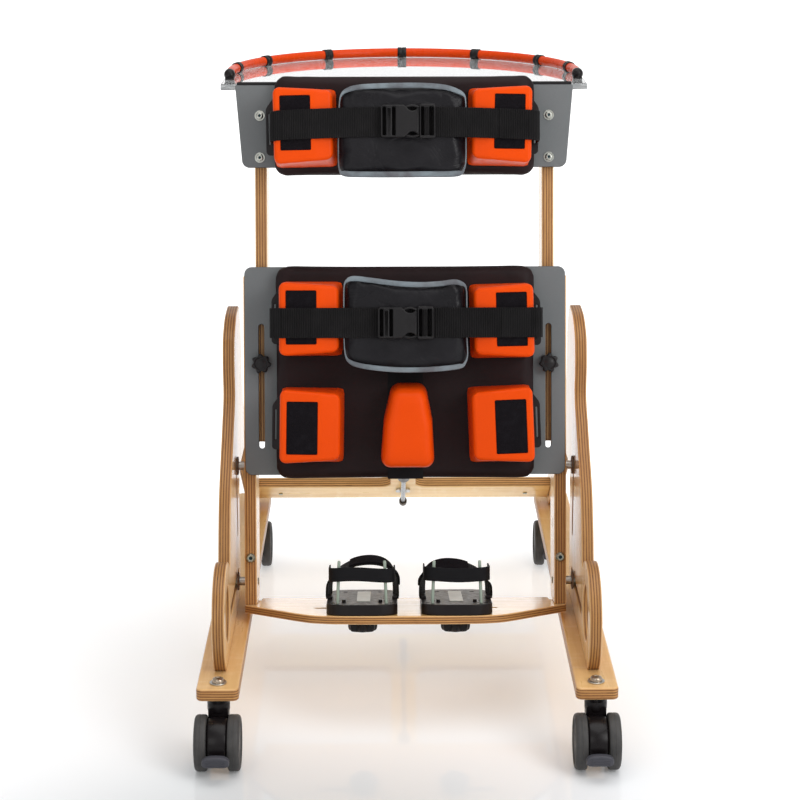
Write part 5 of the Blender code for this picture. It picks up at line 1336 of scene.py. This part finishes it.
def clip(i, angle):
    """A band clip round the rail, screwed down through the tray."""
    x, y = rail_point(angle)
    tangent = Vector((-A * math.sin(angle), B * math.cos(angle), 0)).normalized()
    c = Vector((x, y - Y_MID, rail_z))
    side_ = tangent.cross(Vector((0, 0, 1)))
    rings = []
    half, r_in, r_out = 0.0072, 0.0076, 0.0090
    for z, r in ((-half, r_in), (-half, r_out - 0.0004), (-half + 0.0005, r_out), (-0.0012, r_out), (-0.0006, r_out - 0.0005), (0.0006, r_out - 0.0005), (0.0012, r_out), (half - 0.0005, r_out), (half, r_out - 0.0004), (half, r_in)):
        rings.append([c + tangent * z + side_ * (r * math.cos(2 * math.pi * k / 32)) + Vector((0, 0, 1)) * (max(-0.0075, r * math.sin(2 * math.pi * k / 32))) for k in range(32)])
    piece(loft("rail_clip_%d" % i, rings, closed=True, angle=40.0), "tray_unit", M_BLACK)
    m = basis(tangent, Vector((0, 0, 1)).cross(tangent), (0, 0, 1), Vector((x, y - Y_MID, 0)))
    foot_ = plate("rail_clip_foot_%d" % i, [rounded_rect(-half, -0.0062, half, 0.0062, 0.0015, 4)], 0.0016, m @ Matrix.Translation((0, 0, 0.9085)), 0.0004, 2)
    piece(foot_, "tray_unit", M_BLACK)
    screw = lathe("rail_clip_screw_%d" % i, [(0.0, 0.8945), (0.0030, 0.8945), (0.0036, 0.8954), (0.0036, 0.8970), (0.0030, 0.8979), (0.0, 0.8979)], Matrix.Translation((x, y - Y_MID, 0)), 20)
    piece(screw, "tray_unit", M_STEEL)


for i, deg in enumerate((167.7, 145.9, 117.7, 90.1, 62.8, 34.0, 12.1)):
    clip(i, math.radians(deg))

# ---------------------------------------------------------------- sandals
SANDAL_T = 0.078
SOLE = (FOOT_S[1] + 0.0003, FOOT_S[1] + 0.0163)


def sandal(side, cx, mirror, apex, lean):
    body = "sandal_" + side
    k = mirror          # +1: the instep strap's high side is on the right
    outline = filleted([(cx - 0.0523, -0.012, 0.030), (cx + 0.0523, -0.012, 0.030), (cx + 0.0523, 0.154, 0.018), (cx + 0.030, 0.1665, 0.05), (cx - 0.030, 0.1665, 0.05), (cx - 0.0523, 0.154, 0.018)], 8)
    holes = [circle(cx + dx, t, 0.0030, 20) for dx in (-0.0265, 0.0265) for t in (0.132, 0.018)] + [circle(cx + dx, 0.143, 0.0026, 16) for dx in (-0.0430, 0.0430)]
    holes += [circle(cx + dx, 0.118, 0.0026, 16) for dx in (-0.0350, 0.0350)]
    piece(plate("sole_" + side, [outline] + holes, SOLE[1] - SOLE[0], XT(sum(SOLE) / 2), 0.0014, 3), body, M_SANDAL, "sandal_" + side)
    # low black screw heads beside the heel rods
    for tag, dx in (("l", -0.0270), ("r", 0.0270)):
        head = [(0.0, -0.002), (0.0029, -0.002), (0.0029, 0.0030), (0.0024, 0.0036), (0.0, 0.0037)]
        piece(lathe("sole_stud_%s_%s" % (side, tag), head, rotated(UP, at(cx + dx, SOLE[1], 0.132)), 28), body, M_GLOSS)
    # plain pale strip
    mid = 0.0020 if k > 0 else 0.0
    square = plate("sole_strip_" + side, [rounded_rect(cx + mid - 0.0100, 0.0200, cx + mid + 0.0100, 0.1290, 0.0022, 4)], 0.0012, XT(SOLE[1] + 0.0004), 0.0004, 2)
    piece(square, body, M_PALE)
    for tag, dx, tilt in (("l", -0.0358, 0.0024), ("r", 0.0358, -0.0024)):
        low, high = at(cx + dx, SOLE[1] - 0.004, 0.148), at(cx + dx + tilt, -0.1312, 0.148)
        n_ = 8
        path = [low.lerp(high, i / n_) for i in range(n_ + 1)] + [high + (high - low).normalized() * d for d in (0.0012, 0.0020, 0.0023)]
        radii = [0.00235] * (n_ + 1) + [0.0021, 0.0013, 0.0004]
        piece(tube("heel_rod_%s_%s" % (side, tag), path, 0.00235, 16, up=OUT, radii=radii), body, M_ROD)
    # heel band: across behind the heel, then forward along both sides
    t_b = 0.1545
    pts = []
    for i in range(9):
        pts.append((cx - k * 0.0478, 0.094 + (0.138 - 0.094) * i / 8))
    for i in range(1, 8):
        a = math.pi / 2 * i / 8
        pts.append((cx - k * (0.0478 - 0.0150 + 0.0150 * math.cos(a)), 0.1395 + 0.0150 * math.sin(a)))
    for i in range(9):
        pts.append((cx - k * (0.0328 - 0.0656 * i / 8), t_b))
    for i in range(1, 8):
        a = math.pi / 2 * i / 8
        pts.append((cx + k * (0.0328 + 0.0150 * math.sin(a)), 0.1395 + 0.0150 * math.cos(a)))
    for i in range(9):
        pts.append((cx + k * 0.0478, 0.138 - (0.138 - 0.094) * i / 8))
    path = [at(x, -0.1495 + 0.0012 * math.sin(x * 60) - 0.0016 * (0.15 - t) / 0.07, t) for x, t in pts]
    piece(ribbon("heel_band_" + side, path, UP, 0.0205, 0.0024), body, M_STRIP)
    # instep strap: from the sole's one side up, over the instep and down the other side
    t_i = 0.0800
    arch = [(k * 0.0500, SOLE[1] - 0.0005), (k * 0.0500, -0.1800), (k * 0.0496, -0.1680), (k * 0.0490, -0.1560), (k * 0.0445, -0.1440), (k * 0.0350, -0.1350), (k * 0.0220, -0.1298), (k * 0.0070, -0.1288), (-k * 0.0090, -0.1318),
            (-k * 0.0235, -0.1385), (-k * 0.0365, -0.1475), (-k * 0.0455, -0.1590), (-k * 0.0490, -0.1700), (-k * 0.0498, -0.1810), (-k * 0.0500, SOLE[1] - 0.0005)]
    flat = (0.1800 + apex) / (0.1800 - 0.1288)
    arch = [(x, s if s < -0.1800 else -0.1800 + (s + 0.1800) * flat) for x, s in arch]
    run = [Vector(p) for p in smooth_run(arch, 5)]
    tip = math.radians(lean)
    for tag, lift, wide, lo, hi in (("under", 0.0, 0.0300, 0.0, 1.0), ("over", 0.0023, 0.0275, 0.14, 0.62)):
        count = len(run)
        part = run[int(lo * (count - 1)) : int(hi * (count - 1)) + 1]
        pts3, turning = [], []
        for i, p in enumerate(part):
            a, b = part[max(i - 1, 0)], part[min(i + 1, len(part) - 1)]
            tangent = (b - a).normalized()
            normal = Vector((tangent.y, -tangent.x)) * k
            q = p - normal * lift * -1.0
            pts3.append(at(cx + q.x, q.y, t_i + 0.004 * math.sin(i * 0.05)))
            steep = tangent.y * tangent.y
            root = max(0.0, min(1.0, (q.y + 0.2080) / 0.020))
            turning.append(OUT * math.cos(tip) - UP * (math.sin(tip) * (1.0 - steep)) + Vector((math.copysign(1.0, q.x), 0, 0)) * (0.26 * steep * root))
        piece(ribbon("instep_strap_%s_%s" % (side, tag), pts3, turning, wide, 0.0022, 0.0), body, M_WEB_FOOT if tag == "under" else M_HOOK)
    # keepers that hold the strap's ends on the sole
    for tag, sg in (("l", -1), ("r", 1)):
        keeper = rounded_rect(cx + sg * 0.0500 - 0.0042, t_i - 0.019, cx + sg * 0.0500 + 0.0024, t_i + 0.019, 0.001, 3)
        keeper = rounded_rect(min(cx + sg * 0.0445, cx + sg * 0.0522), t_i - 0.019, max(cx + sg * 0.0445, cx + sg * 0.0522), t_i + 0.019, 0.001, 3)
        piece(plate("strap_keeper_%s_%s" % (side, tag), [keeper], 0.0050, XT(SOLE[1] + 0.0020), 0.0010, 2), body, M_SANDAL)


sandal("left", -0.0650, 1, -0.1363, 17.0)
sandal("right", 0.0742, -1, -0.1430, 25.0)

# ---------------------------------------------------------------- floor, light, camera
def floor_material():
    n = Nodes("studio_floor", 0.16, Specular_IOR_Level=0.5)
    p = n.place
    glow_reach = n.node("ShaderNodeVectorMath", {0: n.scaled(p, (1.0, 1.0, 0.0)), 1: (0.0, -0.9, 0.0)}, out=1, operation="DISTANCE")
    cloud = n.noise(p, 1.3, 2.0, 0.5)
    # painted shade: the floor's colour is darker near a point in front of the frame
    near = n.node("ShaderNodeVectorMath", {0: n.scaled(p, (1.0, 1.0, 0.0)), 1: (-0.15, -0.9, 0.0)}, out=1, operation="DISTANCE")
    tint = n.mix(n.ramp(cloud, 0.3, 0.7), (0.865, 0.875, 0.890), (0.845, 0.858, 0.876))
    n.set("Base Color", n.mix(n.ramp(near, 0.30, 0.64), (0.640, 0.656, 0.662), tint))
    n.set("Roughness", n.ramp(n.noise(p, 3.0, 3.0, 0.5), 0.3, 0.7, 0.006, 0.014))
    # painted light: the floor glows white, more the farther it lies from a point in front of the frame
    n.set("Emission Color", (1.0, 1.0, 1.0))
    n.set("Emission Strength", n.ramp(glow_reach, 0.0, 2.4, 0.0, 0.74))
    return n.mat


bm = bmesh.new()
rings = []
for r in (0.0, 0.6, 1.2, 2.5, 5.0, 10.0, 40.0):
    rings.append([bm.verts.new((0, 0, 0))] if r == 0 else [bm.verts.new((r * math.cos(2 * math.pi * i / 96), r * math.sin(2 * math.pi * i / 96), 0)) for i in range(96)])
for a, b in zip(rings, rings[1:]):
    for i in range(96):
        j = (i + 1) % 96
        if len(a) == 1:
            bm.faces.new((a[0], b[i], b[j]))
        else:
            bm.faces.new((a[i], b[i], b[j], a[j]))
mesh = bpy.data.meshes.new("studio_floor")
bm.to_mesh(mesh)
bm.free()
floor = bpy.data.objects.new("studio_floor", mesh)
bpy.context.scene.collection.objects.link(floor)
floor.data.materials.append(floor_material())

world = bpy.data.worlds.new("studio")
bpy.context.scene.world = world
world.use_nodes = True
world.node_tree.nodes["Background"].inputs["Color"].default_value = (1.0, 1.0, 1.0, 1.0)
# a white wall of light low down behind the frame, dimmer all round and above
sky = world.node_tree
coord, split = sky.nodes.new("ShaderNodeTexCoord"), sky.nodes.new("ShaderNodeSeparateXYZ")
behind, low_down, both, level = (sky.nodes.new(k) for k in ("ShaderNodeMapRange", "ShaderNodeMapRange", "ShaderNodeMath", "ShaderNodeMath"))
sky.links.new(coord.outputs["Generated"], split.inputs[0])
for node, socket, a0, a1 in ((behind, "Y", 0.45, 0.80), (low_down, "Z", 0.30, 0.16)):
    sky.links.new(split.outputs[socket], node.inputs["Value"])
    node.inputs["From Min"].default_value, node.inputs["From Max"].default_value = a0, a1
both.operation = "MULTIPLY"
sky.links.new(behind.outputs["Result"], both.inputs[0])
sky.links.new(low_down.outputs["Result"], both.inputs[1])
level.operation = "MULTIPLY_ADD"
sky.links.new(both.outputs[0], level.inputs[0])
level.inputs[1].default_value, level.inputs[2].default_value = 0.35, 0.58
sky.links.new(level.outputs[0], sky.nodes["Background"].inputs["Strength"])


def area_light(name, location, target, size, power, colour=(1, 1, 1), size_y=None):
    data = bpy.data.lights.new(name, "AREA")
    data.energy = power
    data.color = colour
    data.shape = "RECTANGLE"
    data.size = size
    data.size_y = size_y or size
    obj = bpy.data.objects.new(name, data)
    bpy.context.scene.collection.objects.link(obj)
    obj.location = location
    obj.rotation_euler = (Vector(target) - Vector(location)).to_track_quat("-Z", "Y").to_euler()
    return obj


area_light("overhead", (0.3, -0.3, 3.0), (0, 0, 0.4), 2.4, 36.0, (1.0, 0.995, 0.985), 2.8)
area_light("front_fill", (-1.4, -3.6, 2.0), (0, 0, 0.5), 1.8, 14.0, (1.0, 0.99, 0.98))
area_light("right_fill", (2.2, -2.6, 2.2), (0, 0, 0.7), 1.6, 54.0)

camera_data = bpy.data.cameras.new("camera")
camera_data.lens = 99.2
camera_data.sensor_width = 36.0
camera_data.clip_end = 100.0
camera_data.shift_x = 1.9 / 800
camera_data.shift_y = 0.8 / 800
camera = bpy.data.objects.new("camera", camera_data)
bpy.context.scene.collection.objects.link(camera)
PIT = math.radians(14.96)
YAW = math.atan(11 / 2204.0 * math.cos(PIT))
ROLL = math.radians(-0.13)
cp, sp, cyw, syw = math.cos(PIT), math.sin(PIT), math.cos(YAW), math.sin(YAW)
forward = Vector((syw * cp, cyw * cp, -sp))
right = Vector((cyw, -syw, 0))
upward = Vector((syw * sp, cyw * sp, cp))
right, upward = right * math.cos(ROLL) + upward * math.sin(ROLL), upward * math.cos(ROLL) - right * math.sin(ROLL)
camera.matrix_world = basis(right, upward, -forward, (-0.026, -2.874 - Y_MID, 1.305))
bpy.context.scene.camera = camera
bpy.context.scene.view_settings.view_transform = "Standard"
bpy.context.scene.view_settings.look = "None"
